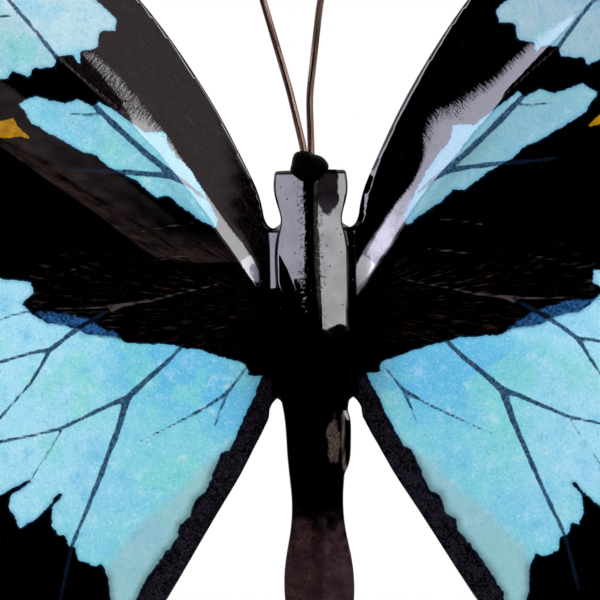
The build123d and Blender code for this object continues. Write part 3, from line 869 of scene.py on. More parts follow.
def print_colour(tree, position, signed, sideways, height, drawn, spread):
    """The inks one over the other, with a highlight painted on the strip's root end and a glow painted along
    the right strip.
    """
    # A printed edge wanders by a few tenths of a millimetre, with coarser teeth here and there
    wander = add_node(tree, "Math MULTIPLY_ADD", {0: spread["fine"], 1: 0.55, 2: -0.725})
    wander = add_node(tree, "Math MULTIPLY_ADD", {0: spread["coarse"], 1: 0.9, 2: wander})
    for name, share in RAGGED.items():
        drawn[name] = add_node(tree, "Math MULTIPLY_ADD", {0: wander, 1: share, 2: drawn[name]})

    # The tints follow the distance from the body and the height, let down by broad drifts
    drift = add_node(tree, "Math MULTIPLY_ADD", {0: spread["drift"], 1: 22 * MM, 2: -11 * MM})
    across = add_node(tree, "Math ADD", {0: sideways, 1: drift})
    upright = add_node(tree, "Math ADD", {0: height, 1: drift})
    blue = blue_ink(tree, signed, across, upright, drawn, spread)
    black = black_ink(tree, position, drawn, spread)
    dark_blue = laid_over(tree, srgb("#16304e"), [(spread["scale"], 0.40, 0.62, 1.0, "#2c629a")])
    vein = laid_over(tree, srgb("#1b374f"), [(spread["scale"], 0.35, 0.70, 1.0, "#456f8e")])
    vein = laid_over(tree, srgb("#0a1624"), [(drawn["blue_mm"], -0.2, 0.2, 1.0, vein)])
    yellow = laid_over(tree, srgb("#8f6500"), [(spread["cloud"], 0.35, 0.65, 1.0, "#bf8a00")])
    # A patchy glow painted into the right strip's ink near the root, brightening the lamp's band
    band_glow_share = add_node(tree, "Math MULTIPLY", {0: spread["coarse"], 1: drawn["band_highlight"]})
    # The highlight painted on the strip's root end is paler on the right wing
    root_highlight_colour = laid_over(tree, srgb("#a5a3b0"), [
        (signed, -1 * MM, 1 * MM, 1.0, "#f2f1f8"),
        (spread["fine"], 0.55, 0.72, 0.8, "#d8d8de"),
        (spread["fine"], 0.36, 0.26, 0.7, "#4a484e"),
    ])
    return laid_over(tree, black, [
        (band_glow_share, 0.05, 0.60, 0.9, "#b9b7c3"),
        (drawn["blue_mm"], -BLUE_EDGE, BLUE_EDGE, 1.0, blue),
        (drawn["scales_mm"], -0.2, 0.5, 0.95, dark_blue),
        (drawn["vein_mm"], 0.1, -0.14, 1.0, vein),
        # Pale hair lines, and a highlight painted along the left forewing's ridge
        (drawn["pale_hair_and_glint_mm"], 0.12, -0.1, 0.6, "#574c50"),
        (drawn["yellow_mm"], -0.08, 0.12, 1.0, yellow),
        (drawn["root_highlight_mm"], -0.15, 0.15, 1.0, root_highlight_colour),
    ])


print("a printed edge is soft over", 2 * BLUE_EDGE, "mm")

# %% Printed sheet
SLANT = 0.7  # about the sine and cosine of the ridge's 45 degrees
COMB = (2600.0, 520.0, 0.0)  # noise cells to the metre along the strip and across it
PRINT_UNEVENNESS = [
    ("fine", 0.7, 3, 0.6), ("coarse", 2.2, 2, 0.5), ("drift", 9.0, 2, 0.5), ("cloud", 2.4, 5, 0.7),
    ("grain", 0.42, 3, 0.75), ("tuft", 4.5, 3, 0.6), ("scale", 0.5, 3, 0.7), ("waves", 5.0, 1, 0.5),
    ("peel", 0.45, 2, 0.6),
]


def combed_lacquer(tree, sideways, height, drawn, spread):
    """Height of the clear lacquer: long waves, faint peel, and brush marks that comb the strip's edge."""
    rise = add_node(tree, "Math MULTIPLY", {0: height, 1: SLANT})
    run = add_node(tree, "Math MULTIPLY", {0: sideways, 1: SLANT})
    along_strip = add_node(tree, "Math ADD", {0: rise, 1: run})
    across_strip = add_node(tree, "Math SUBTRACT", {0: rise, 1: run})
    marks = add_node(tree, "CombineXYZ", {"X": along_strip, "Y": across_strip})
    marks = add_node(tree, "VectorMath MULTIPLY", {0: marks, 1: COMB})
    marks = add_node(tree, "TexNoise", {"Vector": marks, "Scale": 1.0, "Detail": 3.0, "Roughness": 0.6})
    marks = add_node(tree, "Math MULTIPLY", {0: marks, 1: drawn["comb"]})
    surface = add_node(tree, "Math MULTIPLY_ADD", {0: marks, 1: 1.8, 2: spread["waves"]})
    return add_node(tree, "Math MULTIPLY_ADD", {0: spread["peel"], 1: 0.035, 2: surface})


def printed_steel():
    """Ink under a clear coat: bright colour in grainy layers, and mirrored lamps with combed edges."""
    values = {"Roughness": 0.55, "Specular_IOR_Level": 0.0, "Coat_Roughness": 0.03, "Coat_IOR": 1.5}
    material, tree, shader = new_material("printed_steel_under_clear_lacquer", **values)
    position, spread = unevenness(tree, *PRINT_UNEVENNESS)
    # The fields of the drawings and of the pinch, which a wing's points carry
    drawn = {}
    for name in (*fields, *UNPINCHED):
        drawn[name] = add_node(tree, "Attribute", out="Fac", attribute_name=name)
    signed = add_node(tree, "SeparateXYZ", {0: position}, "X")
    sideways = add_node(tree, "Math ABSOLUTE", {0: signed})
    height = add_node(tree, "SeparateXYZ", {0: position}, "Z")
    colour = print_colour(tree, position, signed, sideways, height, drawn, spread)
    # Rubbed places lose their gloss speck by speck
    speckle = add_node(tree, "Math MULTIPLY_ADD", {0: spread["grain"], 1: 0.5, 2: drawn["dull"]})
    rubbed = {"Value": speckle, "From Min": 0.45, "From Max": 0.85, "To Min": 1.0, "To Max": 0.1}
    gloss = add_node(tree, "MapRange", rubbed)
    surface = combed_lacquer(tree, sideways, height, drawn, spread)
    vary(tree, shader, surface, 0.05, "Coat_Normal", Base_Color=colour, Coat_Weight=gloss)
    return material


print_material = printed_steel()
print("the print has", len(print_material.node_tree.nodes), "nodes")

# %% [markdown]
# ## The lacquered body
# The real body is a pressed steel cover dipped in black lacquer. Two flat slopes meet in a narrow rounded
# crown, and each slope mirrors one lamp from end to end, so the body reads as two broad light strips beside
# a black middle. The solid stays; a skin of lacquer is laid over it in rows, a few hundredths of a
# millimetre proud where the coat is thin and a few tenths where it gathered: on the slopes, in a bead along
# the wing roots, and in a run that set on the right flank.

# %% Sizes of the skin
# The pressed cover's own sizes: height, half width and depth, in millimetres
BODY_STATIONS = [
    (11.7, 5.2, 4.2), (11.2, 6.0, 5.0), (9.6, 6.2, 5.6), (6.2, 5.75, 6.0), (3.4, 5.1, 6.35), (0.8, 5.6, 6.7),
    (-5.0, 5.95, 7.45), (-15.0, 6.1, 7.9), (-24.0, 6.1, 7.3), (-30.0, 5.2, 6.3), (-36.5, 4.85, 5.7),
    (-43.5, 4.3, 5.2), (-49.0, 4.6, 5.2), (-54.0, 5.5, 5.4), (-60.0, 5.8, 5.4), (-66.5, 4.8, 4.5),
    (-71.5, 2.9, 3.0), (-73.4, 1.6, 1.9),
]
PLATE_FRONT = -6.5
FLANGE_FRONT = -8.35
FLANGE_EDGE = 7.3
FLANGE_SPAN = (-26.4, 2.0)  # heights
SLOPE = math.radians(29)
THIN_COAT = 0.08
ROW_STEP = 0.25  # between the skin's rows
# Where the lacquer gathered on the slopes: height and extra thickness, left and right
SAG_LEFT = [(12.5, 0.0), (2.0, 0.12), (-4.6, 0.28), (-9.0, 0.12), (-15.0, 0.0), (-75.0, 0.0)]
SAG_RIGHT = [(12.5, 0.0), (2.0, 0.1), (-8.0, 0.22), (-17.4, 0.86), (-19.6, 0.7), (-25.0, 0.0), (-75.0, 0.0)]
# The bead along each flange: height, how far it stands out at the flange's edge, its rise to the flank
BEAD_LEFT = [(2.0, 0.05, 0.85), (-8.6, 1.05, 0.85), (-12.5, 0.10, 0.3), (-27.0, 0.08, 0.25)]
BEAD_RIGHT = [(2.0, 0.08, 0.25), (-27.0, 0.08, 0.25)]
# The run of lacquer on the right flank: middle height, half height and how far it stands out
RUN_MIDDLE = -34.2
RUN_HALF_HEIGHT = 5.3
RUN_OUT = 0.85
print("the body is", BODY_STATIONS[0][0] - BODY_STATIONS[-1][0], "mm long")

# %% Reading the skin's tables


def cubic_through(knots, values, at):
    """A natural cubic spline through the values, read at the given places."""
    order = np.argsort(knots)
    x, y = np.array(knots)[order], np.array(values)[order]
    h = np.diff(x)
    system = np.eye(len(x))
    right = np.zeros(len(x))
    for i in range(1, len(x) - 1):
        system[i, i - 1:i + 2] = h[i - 1], 2 * (h[i - 1] + h[i]), h[i]
        right[i] = 6 * ((y[i + 1] - y[i]) / h[i] - (y[i] - y[i - 1]) / h[i - 1])
    bend = np.linalg.solve(system, right)
    i = np.clip(np.searchsorted(x, at) - 1, 0, len(h) - 1)
    a, b = (x[i + 1] - at) / h[i], (at - x[i]) / h[i]
    return a * y[i] + b * y[i + 1] + ((a**3 - a) * bend[i] + (b**3 - b) * bend[i + 1]) * h[i]**2 / 6


def stepped(table, at, column=1):
    """A value between the rows of a table whose first column falls."""
    rows = np.array(table)[::-1]
    return np.interp(at, rows[:, 0], rows[:, column])


print("the right sag is", round(float(stepped(SAG_RIGHT, -18.0)), 2), "mm thick at 18 mm below the hole")

# %% One half of a section
CROWN = 0.25  # half the rounded crown's width, as a share of the half width
CORNER_CUT = 0.07  # how far the corner to the flank is rounded, as a share of the half width


def half_section(z, half_width, depth, side):
    """One side of a section from the crown to the foot, as x and y in millimetres."""
    crown_x = half_width * CROWN
    crown_y = PLATE_FRONT - depth - THIN_COAT + crown_x * math.tan(SLOPE / 2)
    foot = np.array([half_width + THIN_COAT, PLATE_FRONT])
    corner = np.array([half_width * 0.998 + THIN_COAT, 0.0])
    corner[1] = crown_y + (corner[0] - crown_x) * math.tan(SLOPE)
    radius = crown_x / math.sin(SLOPE)
    points = []
    for turn in np.linspace(0, SLOPE, 9)[:-1]:
        points.append((radius * math.sin(turn), crown_y + radius * (math.cos(SLOPE) - math.cos(turn))))
    cut = CORNER_CUT * half_width
    down = (foot - corner) / np.hypot(*(foot - corner))
    slope_end = corner - cut * np.array([math.cos(SLOPE), math.sin(SLOPE)])
    flank_top = corner + cut * down
    for t in np.linspace(0, 1, 19)[:-1]:
        points.append((1 - t) * np.array([crown_x, crown_y]) + t * slope_end)
    for t in np.linspace(0, 1, 9)[:-1]:
        points.append((1 - t)**2 * slope_end + 2 * t * (1 - t) * corner + t**2 * flank_top)
    low, high = FLANGE_SPAN
    share = float(swell(z, low - 0.5, low + 0.1) * (1 - swell(z, high - 0.1, high + 0.4)))
    bead = BEAD_LEFT if side < 0 else BEAD_RIGHT
    edge_coat, rise = float(stepped(bead, z)), float(stepped(bead, z, 2))
    edge = (1 - share) * foot + share * np.array([FLANGE_EDGE + THIN_COAT, FLANGE_FRONT - edge_coat])
    bead_y = (1 - share) * PLATE_FRONT + share * (FLANGE_FRONT - edge_coat - rise)
    bead_top = flank_top + down * max(0.0, (bead_y - flank_top[1]) / down[1])
    for t in np.linspace(0, 1, 9)[:-1]:
        points.append((1 - t) * flank_top + t * bead_top)
    for t in np.linspace(0, 1, 9):
        points.append((1 - t) * bead_top + t * edge)
    points.append(edge + [0.02 * share, 0.12 * share])
    points.append(edge + [-0.3 * (1 - share), 0.5 * share])
    return np.array(points)


print("half a section has", len(half_section(0.0, 5.6, 6.7, 1)), "points")

# %% The skin, row by row
SLOPE_COLUMNS = 37  # points from the crown to the flank


def lacquer_relief(x, z):
    """How much further than a thin coat the lacquer stands out at a place, in millimetres."""
    sag_left = np.array([stepped(SAG_LEFT, v) for v in z])
    sag_right = np.array([stepped(SAG_RIGHT, v) for v in z])
    relief = sag_left + (sag_right - sag_left) * swell(x, -1.6, 1.6)
    # Beside the left wing's root it fills the corner too, and more of it further down
    corner = np.interp(-z, [0.8, 4.0, 9.0], [6.0, 4.6, 2.6])
    return relief + swell(-z, 0.6, 1.6) * (1 - swell(-z, 11.0, 15.0)) * 0.16 * np.clip(-x - corner, 0, 2.4)


def body_rows():
    """The points of the skin, one row for each height from the head to the tail."""
    stations = np.array(BODY_STATIONS)
    top, bottom = stations[0, 0], stations[-1, 0]
    heights = np.linspace(top, bottom, int((top - bottom) / ROW_STEP))
    heights = np.sort(np.concatenate([heights, top - np.array([0.06, 0.12, 0.18, 0.37, 0.44])]))[::-1]
    widths = cubic_through(stations[1:, 0], stations[1:, 1], heights)
    depths = cubic_through(stations[1:, 0], stations[1:, 2], heights)
    # The head's top edge is rounded off, as lacquer leaves it
    down = np.clip((top + 0.05 - heights) / 0.5, 0, 1)
    rounded = np.sqrt(down * (2 - down))
    widths -= (1 - rounded) * 0.5
    depths -= (1 - rounded) * 0.6
    rows = []
    for z, half_width, depth in zip(heights, widths, depths):
        right = half_section(z, half_width, depth, 1)
        left = half_section(z, half_width, depth, -1) * [-1, 1]
        rows.append(np.vstack([left[:0:-1], (right[:1] + left[:1]) / 2, right[1:]]))
    rows = np.array(rows)
    for _ in range(2):
        rows[:, 1:-1] = 0.5 * rows[:, 1:-1] + 0.25 * (rows[:, 2:] + rows[:, :-2])
    x, y = rows[:, :, 0], rows[:, :, 1]
    z = heights[:, None] + 0 * x
    columns = x.shape[1] // 2
    on_slope = np.abs(np.arange(x.shape[1]) - columns) < SLOPE_COLUMNS
    relief = lacquer_relief(x.ravel(), z.ravel()).reshape(x.shape)
    y -= np.where(on_slope, relief, 0) * swell(FLANGE_FRONT - 0.9 - y, -0.6, 0.6)
    run = np.clip(1 - ((z - RUN_MIDDLE) / RUN_HALF_HEIGHT)**4, 0, 1) * swell(x, 3.9, 4.5)
    x += RUN_OUT * run
    y -= 0.35 * run * (PLATE_FRONT - y > 0.5)
    for _ in range(4):
        rows[1:-1] = 0.5 * rows[1:-1] + 0.25 * (rows[2:] + rows[:-2])
    # Where a highlight is painted along the run's rim
    run_highlight_share = np.clip(1 - np.abs(2 * run - 0.9) / 0.8, 0, 1) * (y < FLANGE_FRONT - 0.4)
    return np.dstack([rows[:, :, 0], rows[:, :, 1], z]), run_highlight_share


skin_rows, run_highlight_share = body_rows()
print("the skin has", len(skin_rows), "rows of", len(skin_rows[0]), "points")

# %% Closing the skin
LIDS = (0.9, 0.6, 0.3, 0.02)  # sizes of the rings that close an end, as shares of its row
LID_RISE = 0.3  # how far the last ring stands out, in millimetres


def row_faces(number):
    """The four-sided faces between neighbouring rows of numbered points."""
    corners = [number[:-1, :-1], number[:-1, 1:], number[1:, 1:], number[1:, :-1]]
    return np.dstack(corners).reshape(-1, 4).tolist()


def body_skin():
    """The rows joined up and closed over the head and the tail."""
    ends = []
    for row, outward in ((skin_rows[0], LID_RISE), (skin_rows[-1], -LID_RISE)):
        centre = np.array([0.0, row[:, 1].mean(), row[0, 2]])
        ends.append([centre + (row - centre) * share + [0, 0, outward * (1 - share)] for share in LIDS])
    points = np.vstack([ends[0][::-1], skin_rows, ends[1]])
    number = np.arange(points[:, :, 0].size).reshape(points.shape[:2])
    mesh = smooth_mesh("body_lacquer", (points.reshape(-1, 3) * MM).tolist(), row_faces(number))
    add_field(mesh, "run_rim_highlight", np.pad(run_highlight_share, ((len(LIDS), len(LIDS)), (0, 0))).ravel())
    if sum(p.normal.y * p.area for p in mesh.polygons) > 0:
        mesh.flip_normals()
    return mesh


body_lacquer = add_piece("body_lacquer", body_skin())
sides = [list(p.vertices) for p in body_lacquer.data.polygons]
skin = BVHTree.FromPolygons([v.co for v in body_lacquer.data.vertices], sides)
worst = 0.0
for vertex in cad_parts["body_shell"].data.vertices:
    hit = skin.ray_cast(Vector((vertex.co.x, -1.0, vertex.co.z)), Vector((0, 1, 0)))[0]
    if hit and hit.y > vertex.co.y:
        worst = max(worst, (hit.y - vertex.co.y) / MM)
print("lacquer skin", len(sides), "faces; the steel pokes out by", round(worst, 3), "mm at most")

# %% [markdown]
# ## Black lacquer
# A dipped coat is glossy and thick enough to run. It shows the lamps as flat pale shapes whose edges break
# up into teeth where dust nibs and orange peel tilt it, and air bubbles left pinholes. Towards the tail the
# coat was wiped thin and half matt; its purple brown is the undercoat with a dull sheen painted over it, and
# a dark line of painted shade runs down the middle. A dim brown reflection is painted on the right of the
# head, a highlight on a matt patch beside the run and on the run's rim, and the flanks were sanded along the
# wing roots. The gloss is a coat over a matt base, so such places take the coat away and carry the painted
# light in the base colour.

# %% Where the coat is thin
WIPED = (-43.0 * MM, -56.0 * MM)  # heights between which the coat thins out
SANDED_FROM = (5.3 * MM, 5.55 * MM)  # distance from the middle at which sanding starts and is full
SANDED_SPAN = [(-9 * MM, -12 * MM), (-29 * MM, -27 * MM)]  # heights at which it starts and is full
# Patches: middle and half sizes in millimetres, raggedness by cloud and by grain, where faint and where full
PATCHES = {
    # The first patch is matt with a highlight painted into it, the second a dim brown reflection painted on
    # the head's right
    "rubbed": ((2.95, -11.5, -33.9), (1.15, 3.0, 4.0), 1.9, 0.9, 2.55, 2.2),
    "head_reflection": ((2.85, 0.0, 8.9), (1.85, math.inf, 4.9), 0.7, 0.0, 1.42, 1.30),
}


def thin_places(tree, position, height, beside, wander, spread):
    """How far the coat is wiped or sanded, and where a flank highlight and a dim head reflection are
    painted, as shares by name.
    """
    low = add_node(tree, "Math ADD", {0: height, 1: wander})
    wiped = {"Value": low, "From Min": WIPED[0], "From Max": WIPED[1]}
    shares = {"wiped": add_node(tree, "MapRange SMOOTHSTEP", wiped)}
    for name, (middle, half, by_cloud, by_grain, faint, full) in PATCHES.items():
        place = add_node(tree, "VectorMath SUBTRACT", {0: position, 1: [v * MM for v in middle]})
        place = add_node(tree, "VectorMath MULTIPLY", {0: place, 1: [1 / (v * MM) for v in half]})
        reach = add_node(tree, "VectorMath LENGTH", {0: place}, "Value")
        reach = add_node(tree, "Math MULTIPLY_ADD", {0: spread["cloud"], 1: by_cloud, 2: reach})
        reach = add_node(tree, "Math MULTIPLY_ADD", {0: spread["grain"], 1: by_grain, 2: reach})
        patch = {"Value": reach, "From Min": faint, "From Max": full}
        shares[name] = add_node(tree, "MapRange SMOOTHSTEP", patch)
    sanded = 1.0
    for follows, (start, full) in ((beside, SANDED_FROM), *((height, span) for span in SANDED_SPAN)):
        reach = {"Value": follows, "From Min": start, "From Max": full, "To Max": sanded}
        sanded = add_node(tree, "MapRange", reach)
    shares["sanded"] = sanded
    return shares


print("the coat thins out over", round((WIPED[0] - WIPED[1]) / MM), "mm")

# %% Undercoat and gloss
MATT_LOSS = 0.94  # how much of the coat is gone where it is wiped, rubbed or sanded
HEAD_REFLECTION_LOSS = 0.985


def lacquer_colour(tree, height, across, wander, shares, spread):
    """Black, and the undercoat with a painted dull sheen where the coat is thin: browner on the left, with a
    dark line of painted shade down the middle; painted light also on the head, the flank and the run's rim.
    """
    from_middle = add_node(tree, "Math MULTIPLY_ADD", {0: wander, 1: 0.06, 2: across})
    from_middle = add_node(tree, "Math ABSOLUTE", {0: from_middle})
    # The undercoat with a dull sheen painted over it, more violet to the right, and painted shade in a dark
    # line down the middle
    undercoat_and_sheen = laid_over(tree, srgb("#1a0d0f"), [
        (spread["grain"], 0.3, 0.7, 1.0, "#4c3534"),
        (across, -1.0 * MM, 3.0 * MM, 0.45, "#402e3b"),
        (spread["cloud"], 0.35, 0.65, 0.8, "#251519"),
        (from_middle, 1.6 * MM, 0.1 * MM, 0.55, "#12080b"),
    ])
    # A highlight painted into the matt patch beside the run
    painted_sheen = laid_over(tree, srgb("#1c1515"), [(spread["grain"], 0.35, 0.65, 1.0, "#5c4e4a")])
    # A dim brown reflection painted on the right of the head, lighter lower down, where the coat is taken
    # away
    bare = laid_over(tree, srgb("#080508"), [
        (spread["cloud"], 0.45, 0.65, 1.0, "#170e13"),
        (height, 8 * MM, 4.5 * MM, 0.8, "#2e2630"),
    ])
    # A highlight painted along the run's rim
    rim = add_node(tree, "Attribute", out="Fac", attribute_name="run_rim_highlight")
    return laid_over(tree, srgb("#000000"), [
        (shares["wiped"], 0.0, 1.0, 1.0, undercoat_and_sheen),
        (shares["rubbed"], 0.0, 1.0, 1.0, painted_sheen),
        (shares["head_reflection"], 0.0, 1.0, 1.0, bare),
        (rim, 0.25, 0.9, 0.75, "#6f5f58"),
    ])


def lacquer_gloss(tree, shares, spread):
    """How much of the coat is left, with a faint bloom over all of it."""
    matt = add_node(tree, "Math MAXIMUM", {0: shares["wiped"], 1: shares["rubbed"]})
    matt = add_node(tree, "Math MAXIMUM", {0: matt, 1: shares["sanded"]})
    bloom = {"Value": spread["bloom"], "From Min": 0.35, "From Max": 0.65, "To Min": 0.78, "To Max": 1.0}
    gloss = add_node(tree, "MapRange", bloom)
    for bare, loss in ((matt, MATT_LOSS), (shares["head_reflection"], HEAD_REFLECTION_LOSS)):
        left = add_node(tree, "Math MULTIPLY_ADD", {0: bare, 1: -loss, 2: 1.0})
        gloss = add_node(tree, "Math MULTIPLY", {0: left, 1: gloss})
    return gloss


print("a wiped place keeps", round((1 - MATT_LOSS) * 100), "% of the gloss")

# %% Relief of the black coat
NIBS_BESIDE = (2.9 * MM, 1.7 * MM)  # from the middle: dust nibs sit along the crown
NIBS_HEIGHT = (-14 * MM, -6 * MM)  # heights between which nibs and pinholes become frequent
PITS_HEIGHT = (-16 * MM, -10 * MM)
PIT_SPACING = 1.6 * MM


def nibs_and_pits(tree, position, height, beside, spread):
    """Height of the black coat: dust nibs along the crown, pinholes, and long waves where it pulled."""
    depth = {"nibs": 0.42, "pits": -0.35}
    cells = add_node(tree, "TexVoronoi", {"Vector": position, "Scale": 1 / PIT_SPACING})
    for name, kind, follows, (start, full) in (
        ("nibs", "MapRange SMOOTHSTEP", beside, NIBS_BESIDE),
        ("nibs", "MapRange", height, NIBS_HEIGHT),
        ("nibs", "MapRange SMOOTHSTEP", spread["nib"], (0.5, 0.78)),
        ("pits", "MapRange", height, PITS_HEIGHT),
        ("pits", "MapRange SMOOTHSTEP", cells, (0.13, 0.07)),
    ):
        reach = {"Value": follows, "From Min": start, "From Max": full, "To Max": depth[name]}
        depth[name] = add_node(tree, kind, reach)
    surface = add_node(tree, "Math MULTIPLY_ADD", {0: spread["pull"], 1: 0.8, 2: depth["pits"]})
    return add_node(tree, "Math ADD", {0: surface, 1: depth["nibs"]})


print("pinholes are about", round(PIT_SPACING / MM, 1), "mm apart")

# %% Black lacquer material
LACQUER_UNEVENNESS = [
    ("cloud", 2.4, 4, 0.6), ("grain", 0.3, 3, 0.7), ("pull", 3.4, 1, 0.5), ("nib", 0.7, 3, 0.65),
    ("bloom", 4.0, 3, 0.55),
]


def black_lacquer():
    """A thick black coat: lamps show in it as flat pale shapes with ragged edges."""
    values = {"Roughness": 0.5, "Specular_IOR_Level": 0.0, "Coat_Roughness": 0.035, "Coat_IOR": 1.5}
    material, tree, shader = new_material("dipped_black_lacquer", **values)
    position, spread = unevenness(tree, *LACQUER_UNEVENNESS)
    height = add_node(tree, "SeparateXYZ", {0: position}, "Z")
    across = add_node(tree, "SeparateXYZ", {0: position}, "X")
    beside = add_node(tree, "Math ABSOLUTE", {0: across})
    wander = add_node(tree, "Math MULTIPLY_ADD", {0: spread["cloud"], 1: 14 * MM, 2: -7 * MM})
    shares = thin_places(tree, position, height, beside, wander, spread)
    colour = lacquer_colour(tree, height, across, wander, shares, spread)
    gloss = lacquer_gloss(tree, shares, spread)
    surface = nibs_and_pits(tree, position, height, beside, spread)
    vary(tree, shader, surface, 0.07, "Coat_Normal", Base_Color=colour, Coat_Weight=gloss)
    return material


lacquer = black_lacquer()
body_lacquer.data.materials.append(lacquer)
print("the lacquer has", len(lacquer.node_tree.nodes), "nodes")

# %% [markdown]
# ## The drop of resin
# The antennae stand in a drop of black casting resin, pushed in place with a stick: a lumpy, rather dull
# blob, not a ball. Its outline is drawn from the photograph and swept round as a squashed form.

# %% The drop's outline
# Pixels of the photograph round the drop, from its top, clockwise
DROP_OUTLINE = [
    (304, 152.5), (314, 156), (325, 161), (329, 168), (323, 176), (312, 184), (304, 183.5), (297, 179),
    (290, 172), (292, 165), (295, 154),
]
SPOKES = 72


def drop_radius(around):
    """The outline's centre, and its distance from there in each of the given directions."""
    outline = np.array([on_ornament(pixel) for pixel in DROP_OUTLINE])
    centre = (outline.min(0) + outline.max(0)) / 2
    offset = outline - centre
    turn = np.arctan2(offset[:, 1], offset[:, 0])
    order = np.argsort(turn)
    turn, reach = turn[order], np.hypot(*offset.T)[order]
    turns = np.concatenate([turn - 2 * math.pi, turn, turn + 2 * math.pi])
    radius = np.interp(around, turns, np.tile(reach, 3))
    for _ in range(2):
        radius = 0.5 * radius + 0.25 * (np.roll(radius, 1) + np.roll(radius, -1))
    return centre, radius


around = np.linspace(-math.pi, math.pi, SPOKES + 1)[:-1]
centre, radius = drop_radius(around)
print("the drop reaches up to", round(float(radius.max()), 2), "mm from its centre")

# %% The drop's form and finish
DROP_DEPTH = 3.3  # half its thickness, from the wall outwards
RINGS = 35


def resin_drop():
    """A squashed, lumpy ball inside the drawn outline, in rings from front to back."""
    box_low, box_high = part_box("antenna_resin_drop")
    middle_y = (box_low[1] + box_high[1]) / 2 / MM
    points = []
    for lift in np.linspace(-90, 90, RINGS + 2)[1:-1]:
        ring = math.cos(math.radians(lift))
        for a, r in zip(around, radius):
            lump = 1 + (0.07 * math.sin(3 * a + 1.0) + 0.03 * math.sin(5 * a)) * ring
            out = r * ring + 2.9 * ring * (1 - ring) * 0.25
            x, z = centre + out * np.array([math.cos(a), math.sin(a)])
            points.append((x, middle_y + DROP_DEPTH * lump * math.sin(math.radians(lift)), z))
    number = np.arange(RINGS * SPOKES).reshape(RINGS, SPOKES)
    number = np.column_stack([number, number[:, 0]])
    faces = row_faces(number)
    front, back = len(points), len(points) + 1
    points += [(centre[0], middle_y - DROP_DEPTH, centre[1]), (centre[0], middle_y + DROP_DEPTH, centre[1])]
    faces += [(front, b, a) for a, b in zip(number[0].tolist(), number[0, 1:].tolist())]
    faces += [(back, a, b) for a, b in zip(number[-1].tolist(), number[-1, 1:].tolist())]
    mesh = smooth_mesh("resin_drop", (np.array(points) * MM).tolist(), faces)
    shape = bmesh.new()
    shape.from_mesh(mesh)
    bmesh.ops.recalc_face_normals(shape, faces=shape.faces)
    shape.to_mesh(mesh)
    shape.free()
    return mesh


drop = add_piece("resin_drop", resin_drop())
# Cast resin, set in air: black, half matt, with a faint skin of small lumps
drop.data.materials.append(even_finish(
    "set_black_resin", "#000000", [("grain", 0.35, 3, 0.6), ("lump", 0.9, 3, 0.6)],
    [("grain", 0.5, 0.75, 1.0, "#070507")], "lump", 0.2, Roughness=0.42, Specular_IOR_Level=0.015,
))
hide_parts("antenna_resin_drop")
print("the drop has", len(drop.data.polygons), "faces")

# %% [markdown]
# ## Copper wire
# Hard drawn copper, 1.2 mm, unlacquered and a year old: brown, with bright and dark lines along it that the
# drawing die left. The lines follow the wire, so a Geometry Nodes tree sweeps a circle along each antenna's
# centre line, which is read off the solid, and stores the place round the wire for the material to use.

# %% Centre line and sweep
WIRE_RADIUS = 0.6 * MM
POINTS_ROUND = 28
LEVELS = 64  # points up the centre line


def centre_line(node):
    """Points up the middle of an upright wire, from the solid's own mesh."""
    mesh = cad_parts[node].data
    z = np.array([v.co.z for v in mesh.vertices])
    tree = BVHTree.FromPolygons([v.co for v in mesh.vertices], [list(p.vertices) for p in mesh.polygons])
    lowest = [v.co for v in mesh.vertices if v.co.z < z.min() + 0.3 * MM]
    guess = Vector(np.mean(lowest, axis=0).tolist())
    line = []
    for level in np.linspace(z.min() + 0.05 * MM, z.max() - 0.05 * MM, LEVELS):
        guess.z = level
        for _ in range(3):
            for axis in (Vector((1, 0, 0)), Vector((0, 1, 0))):
                ahead, behind = tree.ray_cast(guess, axis)[0], tree.ray_cast(guess, -axis)[0]
                if ahead and behind:
                    guess = guess + axis * ((ahead + behind).dot(axis) / 2 - guess.dot(axis))
        line.append(guess.copy())
    return line


def wire_tree():
    """Geometry Nodes: a round wire along a curve, with its end capped and the place round it stored."""
    tree = bpy.data.node_groups.new("Drawn wire", "GeometryNodeTree")
    tree.interface.new_socket("Path", in_out="INPUT", socket_type="NodeSocketGeometry")
    radius = tree.interface.new_socket("Radius", in_out="INPUT", socket_type="NodeSocketFloat")
    around = tree.interface.new_socket("Points round", in_out="INPUT", socket_type="NodeSocketInt")
    finish = tree.interface.new_socket("Finish", in_out="INPUT", socket_type="NodeSocketMaterial")
    tree.interface.new_socket("Wire", in_out="OUTPUT", socket_type="NodeSocketGeometry")
    given = tree.nodes.new("NodeGroupInput").outputs
    circle = {"Resolution": given["Points round"], "Radius": given["Radius"]}
    circle = add_node(tree, "CurvePrimitiveCircle", circle)
    kept = []
    for name, curve, measure in (("round_wire", circle, "Factor"), ("along_wire", given["Path"], "Length")):
        place = add_node(tree, "SplineParameter", out=measure)
        place = {"Geometry": curve, "Name": name, "Value": place}
        kept.append(add_node(tree, "StoreNamedAttribute", place, domain="POINT", data_type="FLOAT"))
    swept = add_node(tree, "CurveToMesh", {"Curve": kept[1], "Profile Curve": kept[0], "Fill Caps": True})
    real = add_node(tree, "RealizeInstances", {"Geometry": swept})
    smooth = add_node(tree, "SetShadeSmooth", {"Geometry": real})
    dressed = add_node(tree, "SetMaterial", {"Geometry": smooth, "Material": given["Finish"]})
    tree.links.new(dressed, tree.nodes.new("NodeGroupOutput").inputs["Wire"])
    return tree, radius.identifier, around.identifier, finish.identifier


wire_maker, radius_input, round_input, finish_input = wire_tree()
print("the wire maker has", len(wire_maker.nodes), "nodes")

# %% Antenna wires
DIE_LINES = (5.6, 5.6, 90.0)  # noise cells per radius round the wire, and per metre along it


